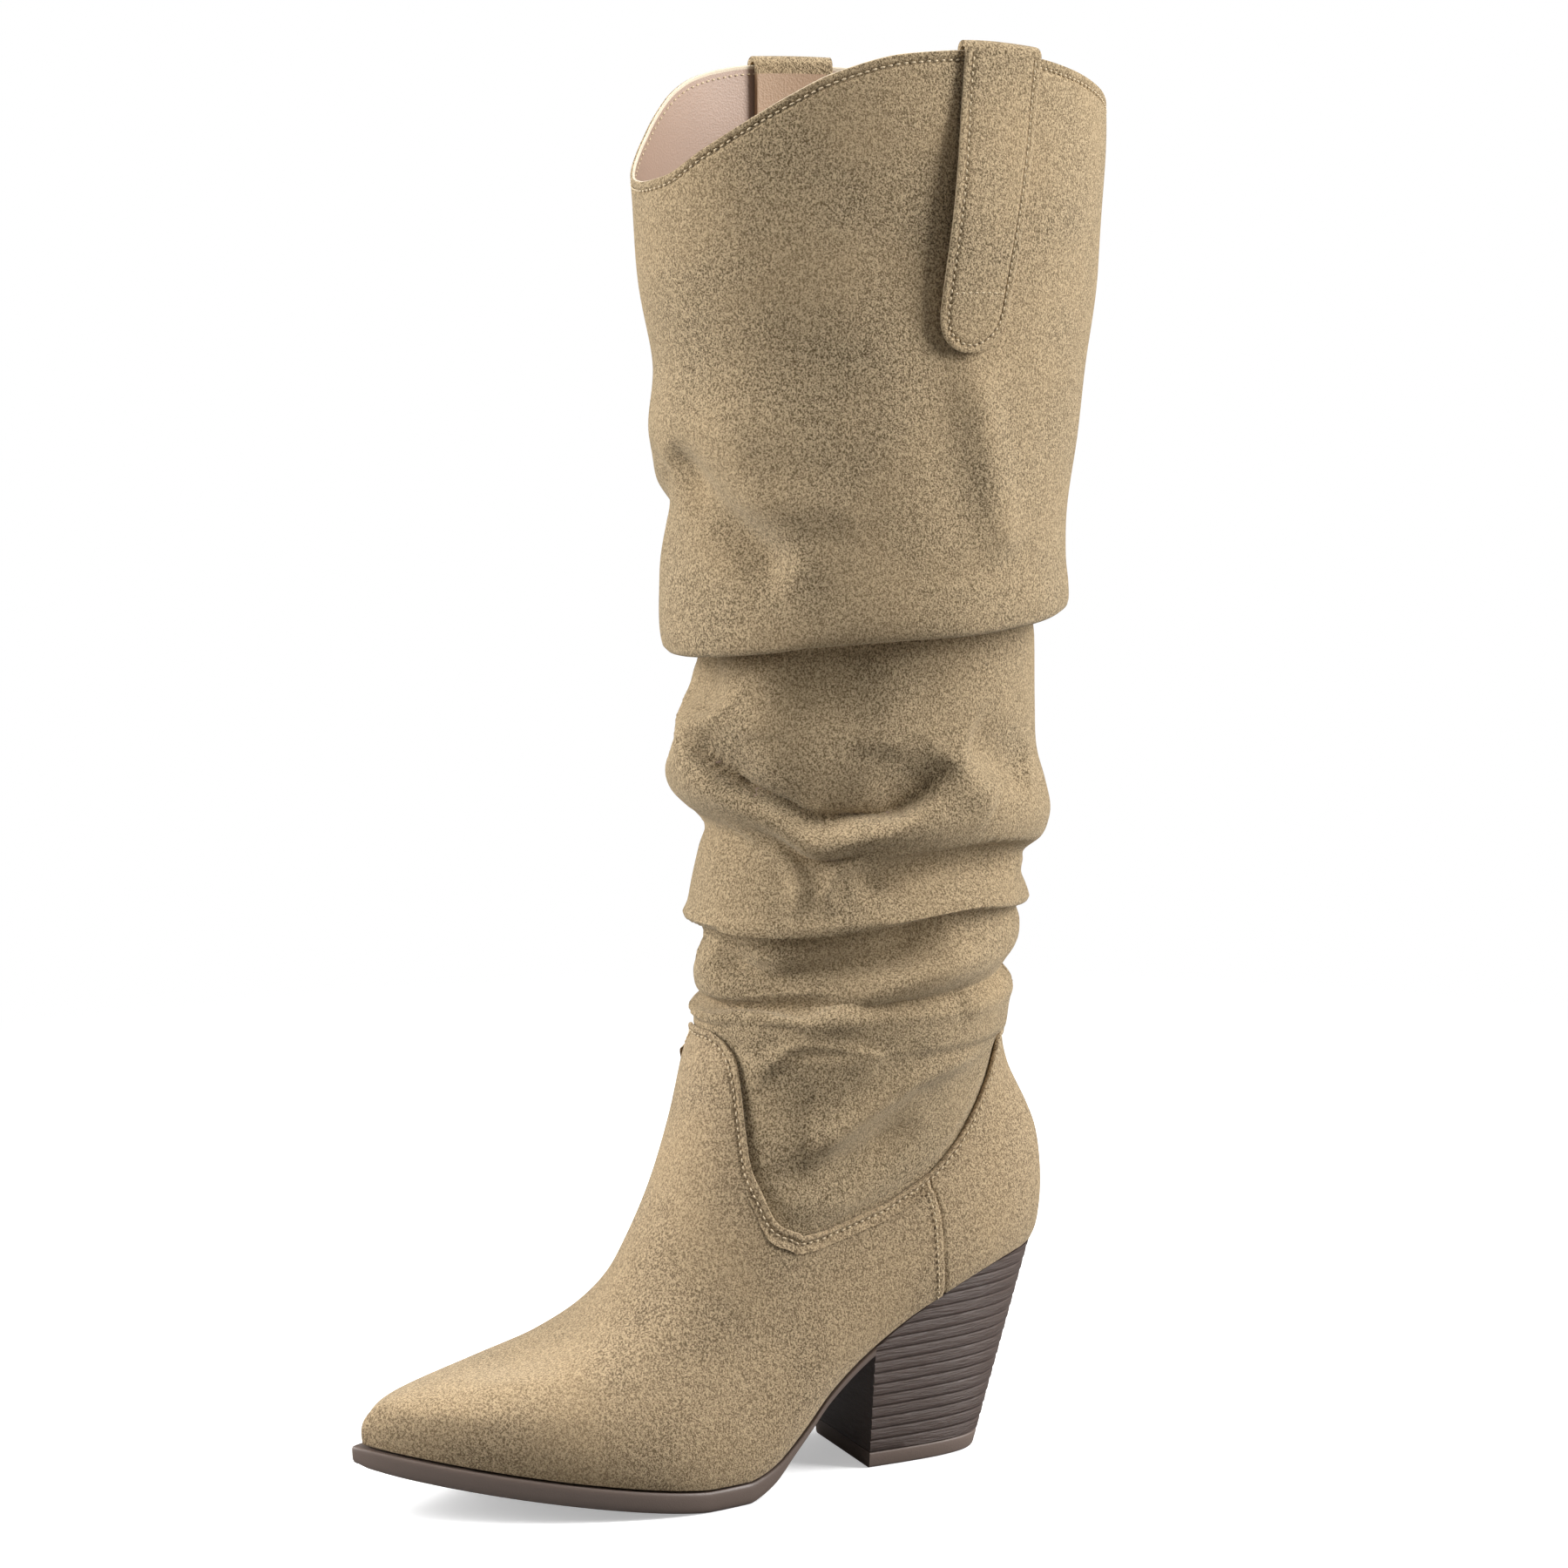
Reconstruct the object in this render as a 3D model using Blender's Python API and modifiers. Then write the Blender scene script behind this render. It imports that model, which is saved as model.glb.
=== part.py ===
"""Slouch boot with a pointed toe and a stacked block heel, left shoe.

Frame: metres, +X to the toe, +Y to the shoe's outer side, +Z up.
The origin is the middle of the heel's face on the floor.
"""
from collections import namedtuple

import bmesh
import bpy
import numpy as np
from mathutils import Vector

# Driving sizes of the foot
FOOT_LENGTH = 0.242
BALL_WIDTH = 0.083
HEEL_HEIGHT = 0.071
TOE_SPRING = 0.0175
TOE_INFLARE = 0.007
ANKLE_RISE = 0.105
OUTSOLE_THICKNESS = 0.007
OUTSOLE_MARGIN = 0.0008
OUTSOLE_TOE_LEDGE = 0.0043
INSOLE_THICKNESS = 0.0022
UPPER_WALL = 0.0018

# Driving sizes of the heel
HEEL_BASE_LENGTH = 0.0448
HEEL_BASE_WIDTH = 0.041
HEEL_OVERHANG = 0.02295
HEEL_BACK_SQUARENESS = 3.8
BREAST_HEIGHT = 0.044
BREAST_LEAN = 0.0015
TOP_PIECE_HEIGHT = 0.0055
LAYER_PITCH = 0.00405
LAYER_GROOVE = 0.0005

# Driving sizes of the leg
LEG_HEIGHT = 0.314
SHAFT_DEPTH = 0.162
SHAFT_WIDTH = 0.114
SHAFT_WALL = 0.0018
SEAM_STEP = 0.0008

# Driving sizes of the pull straps
STRAP_WIDTH = 0.0285
STRAP_END_WIDTH = 0.0250
STRAP_THICKNESS = 0.0018
STRAP_OUTER_LEG = 0.092
STRAP_INNER_LEG = 0.030
STRAP_LOOP_RISE = 0.0026
STRAP_STANDOFF = 0.0035

# Clearances between pieces
SEAT_GAP = 0.0003
SEAM_GAP = 0.0004
STRAP_GAP = 0.0004

HEEL_BACK_X = -HEEL_BASE_LENGTH / 2 - HEEL_OVERHANG
LEG_AXIS_PLACE = 0.248
LEG_AXIS_X = HEEL_BACK_X + LEG_AXIS_PLACE * FOOT_LENGTH
ANKLE_SEAT_SHARE = 0.61
ANKLE_Z = ANKLE_SEAT_SHARE * HEEL_HEIGHT + ANKLE_RISE

# Angles of the shells' columns from the front, over the outer half; the inner half mirrors them.
COLUMN_ANGLES = (0, 11, 22, 33, 44, 55, 66, 77, 87, 93, 98, 103, 107, 111, 115, 120, 126, 133, 141, 148,
                 155, 163, 171, 180)

# Stations along the sole pieces, up to the ball and from there to the toe.
OUTSOLE_STATIONS = (16, 11)
INSOLE_STATIONS = (14, 9)

# Round back end of the insole: its length, and its stations.
SEAT_LENGTH = 0.25 * FOOT_LENGTH
SEAT_STATIONS = 12

# Edge of the outsole from its underside up: share of its thickness, share of its margin.
OUTSOLE_EDGE = ((0.0, 0.2), (0.12, 0.8), (0.5, 1.0), (1.0, 1.0))
SOLE_TIP_HALF_WIDTH = 0.0004

# Stations round the heel's back, and lengths that shape its ends.
HEEL_BACK_STATIONS = 20
TOP_PIECE_BEVEL = 0.0003
TOP_PIECE_BEVEL_HEIGHT = 0.0006
LAYERS_PAST_SEAT = 0.004
GROOVE_SHARE = 0.24
SEAT_CUTTER_STATIONS = 24
SEAT_CUTTER_MARGIN = 0.01

# Stations along a pull strap, across it, and leg rows that it hangs over.
STRAP_INNER_STATIONS = 5
STRAP_LOOP_STATIONS = 7
STRAP_OUTER_STATIONS = 8
STRAP_END_STATIONS = 6
STRAP_ACROSS_STATIONS = 5
STRAP_LEG_ROWS = 12.0

# Heights of the upper's lower edge behind the ball, as shares of its rise at the heel's back.
SolePoint = namedtuple("SolePoint", "place rise")
SOLE_LINE = (
    SolePoint(place=0.000, rise=0.975),
    SolePoint(place=0.069, rise=0.942),
    SolePoint(place=0.127, rise=0.884),
    SolePoint(place=0.211, rise=0.752),
    SolePoint(place=0.290, rise=0.568),
    SolePoint(place=0.359, rise=0.358),
    SolePoint(place=0.390, rise=0.235),
    SolePoint(place=0.420, rise=0.131),
    SolePoint(place=0.445, rise=0.060),
    SolePoint(place=0.470, rise=0.018),
    SolePoint(place=0.490, rise=0.000),
    SolePoint(place=0.550, rise=0.000),
)
TOE_CURVE = 1.2

# Exponents of the outline behind the widest place, round the heel seat.
SEAT_ROUND_X = 2.1
SEAT_ROUND_Y = 2.5

# Arch: its middle and its length along the foot, and how much more the inner side pulls in.
ARCH_PLACE = 0.33
ARCH_LENGTH = 0.15
ARCH_OUTER_SIDE = 0.9
ARCH_INNER_SIDE = 1.25

# Thickness of the outsole along the foot, as shares of OUTSOLE_THICKNESS.
OutsolePoint = namedtuple("OutsolePoint", "place thick")
OUTSOLE_LINE = (
    OutsolePoint(place=0.270, thick=0.40),
    OutsolePoint(place=0.350, thick=0.42),
    OutsolePoint(place=0.410, thick=0.52),
    OutsolePoint(place=0.450, thick=0.86),
    OutsolePoint(place=0.490, thick=1.00),
    OutsolePoint(place=0.550, thick=1.00),
    OutsolePoint(place=0.800, thick=1.00),
    OutsolePoint(place=0.920, thick=0.97),
    OutsolePoint(place=1.000, thick=0.82),
)

# Foot rows from the sole to the ankle.
# front, back, wide: places along the foot as shares of FOOT_LENGTH; wide is where the row is widest.
# outer, inner: half widths as shares of BALL_WIDTH. low: share of the sole line's shape that is gone.
# front_z, side_z, back_z: heights over the sole line as shares of ANKLE_RISE.
# round_x, round_y: exponents of the outline's front. waist: how far the sides pull in behind the ball.
FootRow = namedtuple("FootRow", "front back wide outer inner low front_z side_z back_z round_x round_y waist")
FOOT_ROWS = tuple(FootRow(*row) for row in (
    (0.972, 0.001, 0.555, 0.470, 0.490, 0.00, 0.000, 0.000, 0.000, 1.60, 1.25, 0.24),
    (0.9735, -0.009, 0.555, 0.488, 0.505, 0.00, 0.056, 0.047, 0.050, 1.65, 1.30, 0.20),
    (0.9640, -0.015, 0.550, 0.492, 0.510, 0.00, 0.101, 0.130, 0.150, 1.70, 1.42, 0.15),
    (0.9370, -0.015, 0.535, 0.470, 0.485, 0.02, 0.152, 0.225, 0.260, 1.80, 1.60, 0.10),
    (0.857, -0.009, 0.510, 0.435, 0.450, 0.05, 0.222, 0.315, 0.370, 1.90, 1.75, 0.06),
    (0.774, 0.004, 0.480, 0.405, 0.420, 0.12, 0.260, 0.395, 0.470, 2.00, 1.90, 0.04),
    (0.699, 0.020, 0.440, 0.395, 0.405, 0.22, 0.317, 0.480, 0.570, 2.00, 2.00, 0.02),
    (0.641, 0.032, 0.400, 0.400, 0.405, 0.36, 0.389, 0.565, 0.660, 2.00, 2.00, 0.00),
    (0.600, 0.040, 0.360, 0.415, 0.415, 0.52, 0.490, 0.655, 0.750, 2.00, 2.00, 0.00),
    (0.562, 0.045, 0.330, 0.435, 0.435, 0.70, 0.610, 0.755, 0.835, 2.00, 2.00, 0.00),
    (0.532, 0.048, 0.305, 0.460, 0.455, 0.86, 0.760, 0.860, 0.915, 2.00, 2.00, 0.00),
    (0.511, 0.049, 0.285, 0.485, 0.480, 1.00, 0.910, 0.950, 0.970, 2.00, 2.00, 0.00),
))

# Leg rows from the ankle to the collar. front_z, side_z, back_z: heights as shares of LEG_HEIGHT over the
# ankle; where they fall from one row to the next, the leg folds over itself.
# front, back: reach from the leg's axis as shares of SHAFT_DEPTH. outer, inner: as shares of SHAFT_WIDTH.
LegRow = namedtuple("LegRow", "front_z back_z side_z front back outer inner")
LEG_ROWS = tuple(LegRow(*row) for row in (
    (-0.005, -0.005, -0.005, 0.376, 0.300, 0.365, 0.360),
    (0.010, 0.022, 0.016, 0.380, 0.306, 0.372, 0.365),
    (0.022, 0.042, 0.030, 0.374, 0.314, 0.374, 0.365),
    (0.033, 0.064, 0.045, 0.334, 0.284, 0.346, 0.340),
    (0.045, 0.076, 0.058, 0.362, 0.300, 0.368, 0.360),
    (0.065, 0.087, 0.074, 0.372, 0.327, 0.383, 0.375),
    (0.084, 0.105, 0.096, 0.366, 0.332, 0.379, 0.372),
    (0.104, 0.120, 0.121, 0.357, 0.325, 0.366, 0.360),
    (0.119, 0.126, 0.128, 0.383, 0.350, 0.405, 0.395),
    (0.131, 0.139, 0.140, 0.376, 0.344, 0.405, 0.395),
    (0.158, 0.154, 0.160, 0.366, 0.331, 0.395, 0.385),
    (0.194, 0.165, 0.184, 0.350, 0.336, 0.385, 0.378),
    (0.219, 0.174, 0.201, 0.335, 0.339, 0.383, 0.375),
    (0.237, 0.189, 0.214, 0.377, 0.374, 0.430, 0.420),
    (0.256, 0.206, 0.231, 0.411, 0.388, 0.450, 0.445),
    (0.280, 0.223, 0.252, 0.424, 0.392, 0.448, 0.445),
    (0.309, 0.249, 0.280, 0.418, 0.380, 0.430, 0.430),
    (0.338, 0.286, 0.315, 0.393, 0.358, 0.420, 0.415),
    (0.360, 0.335, 0.353, 0.361, 0.356, 0.412, 0.408),
    (0.386, 0.406, 0.402, 0.345, 0.354, 0.408, 0.404),
    (0.408, 0.446, 0.434, 0.340, 0.346, 0.404, 0.400),
    (0.402, 0.446, 0.430, 0.388, 0.388, 0.468, 0.462),
    (0.398, 0.443, 0.425, 0.413, 0.412, 0.505, 0.500),
    (0.406, 0.449, 0.432, 0.422, 0.420, 0.520, 0.515),
    (0.430, 0.467, 0.453, 0.426, 0.418, 0.527, 0.520),
    (0.477, 0.496, 0.489, 0.423, 0.412, 0.525, 0.520),
    (0.542, 0.548, 0.545, 0.418, 0.416, 0.520, 0.515),
    (0.621, 0.621, 0.621, 0.450, 0.440, 0.512, 0.510),
    (0.694, 0.694, 0.694, 0.438, 0.463, 0.506, 0.505),
    (0.780, 0.780, 0.780, 0.472, 0.486, 0.503, 0.502),
    (0.862, 0.901, 0.891, 0.487, 0.505, 0.500, 0.500),
))
COLLAR_ROW = LegRow(front_z=0.0, back_z=0.0, side_z=0.0, front=0.489, back=0.505, outer=0.500, inner=0.500)

# Top edge of the leg: angle from the front over the outer side, height as a share of LEG_HEIGHT.
CollarPoint = namedtuple("CollarPoint", "angle rise")
COLLAR = tuple(CollarPoint(*point) for point in (
    (0, 0.871), (15, 0.880), (28, 0.904), (41, 0.931), (52, 0.955), (63, 0.977), (80, 0.996),
    (96, 1.000), (111, 0.996), (127, 0.985), (143, 0.969), (160, 0.952), (180, 0.944), (200, 0.952),
    (217, 0.969), (233, 0.983), (249, 0.992), (270, 0.996), (283, 0.995), (292, 0.990), (301, 0.981),
    (309, 0.966), (317, 0.942), (325, 0.915), (333, 0.895), (345, 0.878), (360, 0.871),
))

# Seam between foot and leg: angle from the front, place among the rows, the same on both sides.
SeamPoint = namedtuple("SeamPoint", "angle row")
SEAM = tuple(SeamPoint(*point) for point in (
    (0, 12.75), (10, 12.75), (16, 12.4), (23, 11.8), (33, 10.8), (42, 9.9), (50, 9.2), (60, 8.55),
    (73, 7.7), (88, 7.0), (98, 6.4), (107, 5.85), (116, 5.35), (124, 5.2), (131, 5.6), (137, 6.4),
    (143, 7.7), (149, 9.4), (156, 11.2), (165, 12.5), (180, 12.9),
))
SEAM_LOWEST_FIXED_ROW = 4
SEAM_HIGHEST_FIXED_ROW = 14
UPPER_SEAM_ROWS = 7
SHAFT_SEAM_ROWS = 5


def curve_through(points, at):
    """Smooth curve through a short table of places and values, without overshoot."""
    table = np.array(points, float)
    x, y = table[:, 0], table[:, 1]
    step = np.diff(x)
    slope = np.diff(y) / step
    tangent = np.zeros(len(x))
    same_way = slope[:-1] * slope[1:] > 0
    tangent[1:-1][same_way] = 2.0 / (1.0 / slope[:-1][same_way] + 1.0 / slope[1:][same_way])
    tangent[0], tangent[-1] = slope[0], slope[-1]
    at = np.clip(at, x[0], x[-1])
    i = np.clip(np.searchsorted(x, at, side="right") - 1, 0, len(x) - 2)
    h = step[i]
    t = (at - x[i]) / h
    return ((2 * t**3 - 3 * t**2 + 1) * y[i] + (t**3 - 2 * t**2 + t) * h * tangent[i]
            + (3 * t**2 - 2 * t**3) * y[i + 1] + (t**3 - t**2) * h * tangent[i + 1])


def place_on_foot(x):
    return (np.asarray(x, float) - HEEL_BACK_X) / FOOT_LENGTH


def sole_line(x):
    """Height of the upper's lower edge at a place along the foot."""
    place = place_on_foot(x)
    rise = (HEEL_HEIGHT - OUTSOLE_THICKNESS) * curve_through(SOLE_LINE, place)
    flat_end = SOLE_LINE[-1].place
    toe = np.clip((place - flat_end) / (1.0 - flat_end), 0.0, 1.2)
    return OUTSOLE_THICKNESS + SEAT_GAP + rise + TOE_SPRING * toe ** TOE_CURVE


def centre_line(x):
    """Sideways lean of the foot's middle: the toe points a little to the inner side."""
    ball = FOOT_ROWS[0].wide
    t = np.clip((place_on_foot(x) - ball) / (1.0 - ball), 0.0, 1.1)
    return -TOE_INFLARE * t**2


def signed_power(value, exponent):
    return np.sign(value) * np.abs(value) ** exponent


def waist_pull(x, waist, outer_side):
    """Share of the half width that the arch takes away."""
    arch = np.exp(-(((place_on_foot(x) - ARCH_PLACE) / ARCH_LENGTH) ** 2))
    return arch * waist * np.where(outer_side, ARCH_OUTER_SIDE, ARCH_INNER_SIDE)


def foot_ring(row, angle):
    c, s = np.cos(angle), np.sin(angle)
    ahead = c > 0
    x_front, x_back, x_wide = (HEEL_BACK_X + share * FOOT_LENGTH for share in (row.front, row.back, row.wide))
    round_x, round_y = (seat + (2.0 - seat) * row.low for seat in (SEAT_ROUND_X, SEAT_ROUND_Y))
    x = np.where(ahead, x_wide + (x_front - x_wide) * np.abs(c) ** (2.0 / row.round_x),
                 x_wide - (x_wide - x_back) * np.abs(c) ** (2.0 / round_x))
    half = np.where(s > 0, row.outer, row.inner) * BALL_WIDTH
    y = half * signed_power(s, np.where(ahead, 2.0 / row.round_y, 2.0 / round_y))
    y = y * (1.0 - waist_pull(x, row.waist, s > 0)) + centre_line(x)
    base = sole_line(x) * (1.0 - row.low) + (ANKLE_Z - ANKLE_RISE) * row.low
    end_z = np.where(ahead, row.front_z, row.back_z)
    return np.stack([x, y, base + (row.side_z + (end_z - row.side_z) * c**2) * ANKLE_RISE], -1)


def leg_ring(row, angle):
    c, s = np.cos(angle), np.sin(angle)
    ahead = c > 0
    x = LEG_AXIS_X + np.where(ahead, row.front, row.back) * SHAFT_DEPTH * c
    y = np.where(s > 0, row.outer, row.inner) * SHAFT_WIDTH * s
    end_z = np.where(ahead, row.front_z, row.back_z)
    rise = row.side_z + (end_z - row.side_z) * c**2
    return np.stack([x, y, ANKLE_Z + rise * LEG_HEIGHT], -1)


def seam_row(angle):
    """Row place of the seam, the same on both sides."""
    turn = np.degrees(angle) % 360.0
    return curve_through(SEAM, np.minimum(turn, 360.0 - turn))


def all_rows(angle):
    """Every row of the upper and the leg at the given angles: rows, columns, xyz."""
    rings = [foot_ring(row, angle) for row in FOOT_ROWS]
    rings += [leg_ring(row, angle) for row in LEG_ROWS]
    collar = leg_ring(COLLAR_ROW, angle)
    collar[:, 2] = ANKLE_Z + curve_through(COLLAR, np.degrees(angle) % 360.0) * LEG_HEIGHT
    return np.stack(rings + [collar])


def on_surface(rows, place):
    """Points at row places, by a curve through the rows of each column."""
    place = np.clip(place, 0.0, len(rows) - 1.0)
    i = np.clip(np.floor(place).astype(int), 0, len(rows) - 2)
    t = (place - i)[..., None]
    column = np.arange(rows.shape[1])[None, :] + 0 * i
    a, b = rows[np.maximum(i - 1, 0), column], rows[i, column]
    c, d = rows[i + 1, column], rows[np.minimum(i + 2, len(rows) - 1), column]
    return 0.5 * (2 * b + (c - a) * t + (2 * a - 5 * b + 4 * c - d) * t**2
                  + (3 * b - a - 3 * c + d) * t**3)


def column_angles():
    half = np.radians(COLUMN_ANGLES)
    return np.concatenate([half, 2 * np.pi - half[-2:0:-1]])


def seam_places(rows, angle):
    """Row places of the foot's upper edge and of the leg's lower edge, one gap apart."""
    seam = seam_row(angle)[None, :]
    step = 0.05
    edge = on_surface(rows, seam)[0]
    up = on_surface(rows, seam + step)[0]
    per_row = np.linalg.norm(up - edge, axis=-1) / step
    along = np.linalg.norm(np.roll(edge, -1, 0) - np.roll(edge, 1, 0), axis=-1)
    rise = (np.roll(seam[0], -1) - np.roll(seam[0], 1)) * per_row
    across = np.sqrt(np.maximum(along**2 - rise**2, (0.15 * along) ** 2))
    gap = SEAM_GAP * along / across
    return seam[0], seam[0] + gap / per_row


def outward(points):
    """Outward directions of a grid of rows going up and columns going round."""
    up = np.gradient(points, axis=0)
    around = np.roll(points, -1, 1) - np.roll(points, 1, 1)
    normal = np.cross(around, up)
    return normal / np.maximum(np.linalg.norm(normal, axis=-1, keepdims=True), 1e-12)


def material(name, colour, roughness, metallic=0.0):
    mat = bpy.data.materials.new(name)
    mat.use_nodes = True
    shader = mat.node_tree.nodes["Principled BSDF"]
    shader.inputs["Base Color"].default_value = (*colour, 1.0)
    shader.inputs["Roughness"].default_value = roughness
    shader.inputs["Metallic"].default_value = metallic
    return mat


def add_object(name, bm, collection, mat):
    mesh = bpy.data.meshes.new(name)
    bm.to_mesh(mesh)
    bm.free()
    obj = bpy.data.objects.new(name, mesh)
    collection.objects.link(obj)
    if mat:
        mesh.materials.append(mat)
    mesh.shade_smooth()
    mesh.set_sharp_from_angle(angle=np.radians(35))
    return obj


def grid_mesh(points, closed):
    """Open surface through a grid of points; closed joins the last column to the first."""
    bm = bmesh.new()
    verts = [[bm.verts.new(Vector(p)) for p in row] for row in points]
    count = len(points[0])
    for low, high in zip(verts[:-1], verts[1:]):
        for j in range(count if closed else count - 1):
            k = (j + 1) % count
            bm.faces.new((low[j], low[k], high[k], high[j]))
    return bm


def loft_mesh(rings):
    """Closed body through rings of points, each ring with the same count, capped at both ends."""
    bm = grid_mesh(rings, closed=True)
    bm.verts.ensure_lookup_table()
    count = len(rings[0])
    first = bm.verts[:count]
    last = bm.verts[-count:]
    for ring in (first, last):
        for j in range(count // 2 - 1):
            corners = (ring[j], ring[j + 1], ring[count - 2 - j], ring[count - 1 - j])
            bm.faces.new(corners)
    bmesh.ops.recalc_face_normals(bm, faces=bm.faces[:])
    return bm


def add_wall(obj, thickness, offset):
    wall = obj.modifiers.new("wall", "SOLIDIFY")
    wall.thickness = thickness
    wall.offset = offset
    wall.use_even_offset = False


def make_upper(collection, mat):
    """Foot part: one hollow shell from the sole up to its seam with the leg."""
    angle = column_angles()
    rows = all_rows(angle)
    top, _ = seam_places(rows, angle)
    fixed = [np.full(len(angle), float(k)) for k in range(SEAM_LOWEST_FIXED_ROW + 1)]
    start = fixed[-1]
    rising = [start + (top - start) * k / UPPER_SEAM_ROWS for k in range(1, UPPER_SEAM_ROWS + 1)]
    obj = add_object("upper", grid_mesh(on_surface(rows, np.stack(fixed + rising)), True), collection, mat)
    add_wall(obj, UPPER_WALL, -1.0)


def make_shaft(collection, mat):
    """Slouched leg: one hollow shell from the seam to the collar, a step inside the foot's edge."""
    angle = column_angles()
    rows = all_rows(angle)
    _, bottom = seam_places(rows, angle)
    end = np.full(len(angle), float(SEAM_HIGHEST_FIXED_ROW))
    rising = [bottom + (end - bottom) * k / SHAFT_SEAM_ROWS for k in range(SHAFT_SEAM_ROWS)]
    last = len(rows) - 1
    fixed = [np.full(len(angle), float(k)) for k in range(SEAM_HIGHEST_FIXED_ROW, last + 1)]
    places = np.stack(rising + fixed)
    points = on_surface(rows, places)
    fade = np.clip((SEAM_HIGHEST_FIXED_ROW + 1 - places) / (SEAM_HIGHEST_FIXED_ROW + 1 - bottom), 0, 1)
    points = points - outward(points) * (SEAM_STEP * np.sqrt(fade))[..., None]
    obj = add_object("shaft", grid_mesh(points, True), collection, mat)
    add_wall(obj, SHAFT_WALL, -1.0)


def sole_tip(inset):
    """Front end of a sole piece: the outsole reaches past the upper, a board inside stays behind its wall."""
    reach = OUTSOLE_TOE_LEDGE + inset if inset < 0 else -2.0 * inset
    return HEEL_BACK_X + FOOT_ROWS[0].front * FOOT_LENGTH + reach


def sole_sides(x, inset):
    """Outline of the sole at a place: outer and inner side, pulled in by an inset."""
    row = FOOT_ROWS[0]
    x_front = sole_tip(inset)
    x_back = HEEL_BACK_X + row.back * FOOT_LENGTH + inset
    x_wide = HEEL_BACK_X + row.wide * FOOT_LENGTH
    ahead = x > x_wide
    along = np.where(ahead, (x - x_wide) / (x_front - x_wide), (x_wide - x) / (x_wide - x_back))
    c = np.clip(along, 0.0, 1.0) ** (np.where(ahead, row.round_x, SEAT_ROUND_X) / 2.0)
    s = np.sqrt(np.maximum(1.0 - c**2, 0.0)) ** (2.0 / np.where(ahead, row.round_y, SEAT_ROUND_Y))
    sides = []
    for half, outer_side in ((row.outer, True), (row.inner, False)):
        y = half * BALL_WIDTH * s * (1.0 - waist_pull(x, row.waist, outer_side)) - inset * np.sqrt(s)
        sides.append(np.maximum(y, SOLE_TIP_HALF_WIDTH))
    return centre_line(x) + sides[0], centre_line(x) - sides[1]


def sole_ring(x, inset, z):
    """Ring round the sole's outline at stations along it, from the outer side back to the inner."""
    outer, inner = sole_sides(x, inset)
    return [(a, b, c) for a, b, c in zip(x, outer, z)] + [(a, b, c) for a, b, c in zip(x, inner, z)][::-1]


def toe_stations(x_from, inset, counts):
    """Places along a sole piece, closer together towards its toe."""
    count_to_ball, count_to_toe = counts
    x_wide = HEEL_BACK_X + FOOT_ROWS[0].wide * FOOT_LENGTH
    back = np.linspace(x_from, x_wide, count_to_ball + 1)
    turn = np.linspace(0.0, np.pi / 2, count_to_toe + 1)[1:]
    return np.concatenate([back, x_wide + (sole_tip(inset) - x_wide) * np.sin(turn) ** 1.1])


def breast_x(z):
    return HEEL_BASE_LENGTH / 2 + BREAST_LEAN * z / BREAST_HEIGHT


def outsole_bottom(x):
    top = sole_line(x) - SEAT_GAP
    thick = OUTSOLE_THICKNESS * curve_through(OUTSOLE_LINE, place_on_foot(x))
    return np.maximum(top - thick, 0.0)


def make_outsole(collection, mat):
    """Strip from the heel's breast to the toe, with toe spring, a flat under the ball and the arch."""
    start = breast_x(BREAST_HEIGHT) + SEAT_GAP
    x = toe_stations(start, -OUTSOLE_MARGIN, OUTSOLE_STATIONS)
    bottom, top = outsole_bottom(x), sole_line(x) - SEAT_GAP
    rings = [sole_ring(x, -reach * OUTSOLE_MARGIN, bottom + (top - bottom) * up)
             for up, reach in OUTSOLE_EDGE]
    add_object("outsole", loft_mesh(rings), collection, mat)


def make_insole(collection, mat):
    """Board inside the upper, from the toe over the arch to the heel seat."""
    inset = UPPER_WALL + SEAM_GAP
    start = HEEL_BACK_X + FOOT_ROWS[0].back * FOOT_LENGTH + inset
    turn = np.linspace(0.06, np.pi / 2, SEAT_STATIONS)
    seat = start + SEAT_LENGTH * (1.0 - np.cos(turn))
    x = np.concatenate([seat[:-1], toe_stations(seat[-1], inset, INSOLE_STATIONS)])
    rings = [sole_ring(x, inset, sole_line(x) + up) for up in (0.0, INSOLE_THICKNESS)]
    add_object("insole", loft_mesh(rings), collection, mat)


def heel_outline(z, groove):
    """Outline of the heel at a height: flat breast, rounded back, flaring to the sole's outline."""
    turn = np.linspace(-np.pi / 2, np.pi / 2, HEEL_BACK_STATIONS)
    c, s = np.cos(turn), np.sin(turn)
    base_x = HEEL_BASE_LENGTH / 2 - (HEEL_BASE_LENGTH - groove) * np.abs(c) ** (2.0 / HEEL_BACK_SQUARENESS)
    base_y = (HEEL_BASE_WIDTH / 2 - groove) * signed_power(s, 2.0 / HEEL_BACK_SQUARENESS)
    seat_front = HEEL_BASE_LENGTH / 2 + BREAST_LEAN
    seat_back = HEEL_BACK_X + FOOT_ROWS[0].back * FOOT_LENGTH
    seat_x = seat_front - (seat_front - seat_back - groove) * np.abs(c) ** (2.0 / SEAT_ROUND_Y)
    outer, inner = sole_sides(np.full(1, seat_front), 0.0)
    seat_half = np.where(s > 0, outer[0], -inner[0]) - groove
    seat_y = seat_half * signed_power(s, 2.0 / SEAT_ROUND_Y)
    seat_z = sole_line(seat_x) - SEAT_GAP
    up = z / seat_z
    x = base_x + (seat_x - base_x) * up
    y = base_y + (seat_y - base_y) * up
    return [(a, b, z) for a, b in zip(x, y)]


def heel_loft(levels):
    """Closed body through level outlines given as height and groove."""
    return loft_mesh([heel_outline(z, groove) for z, groove in levels])


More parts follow.
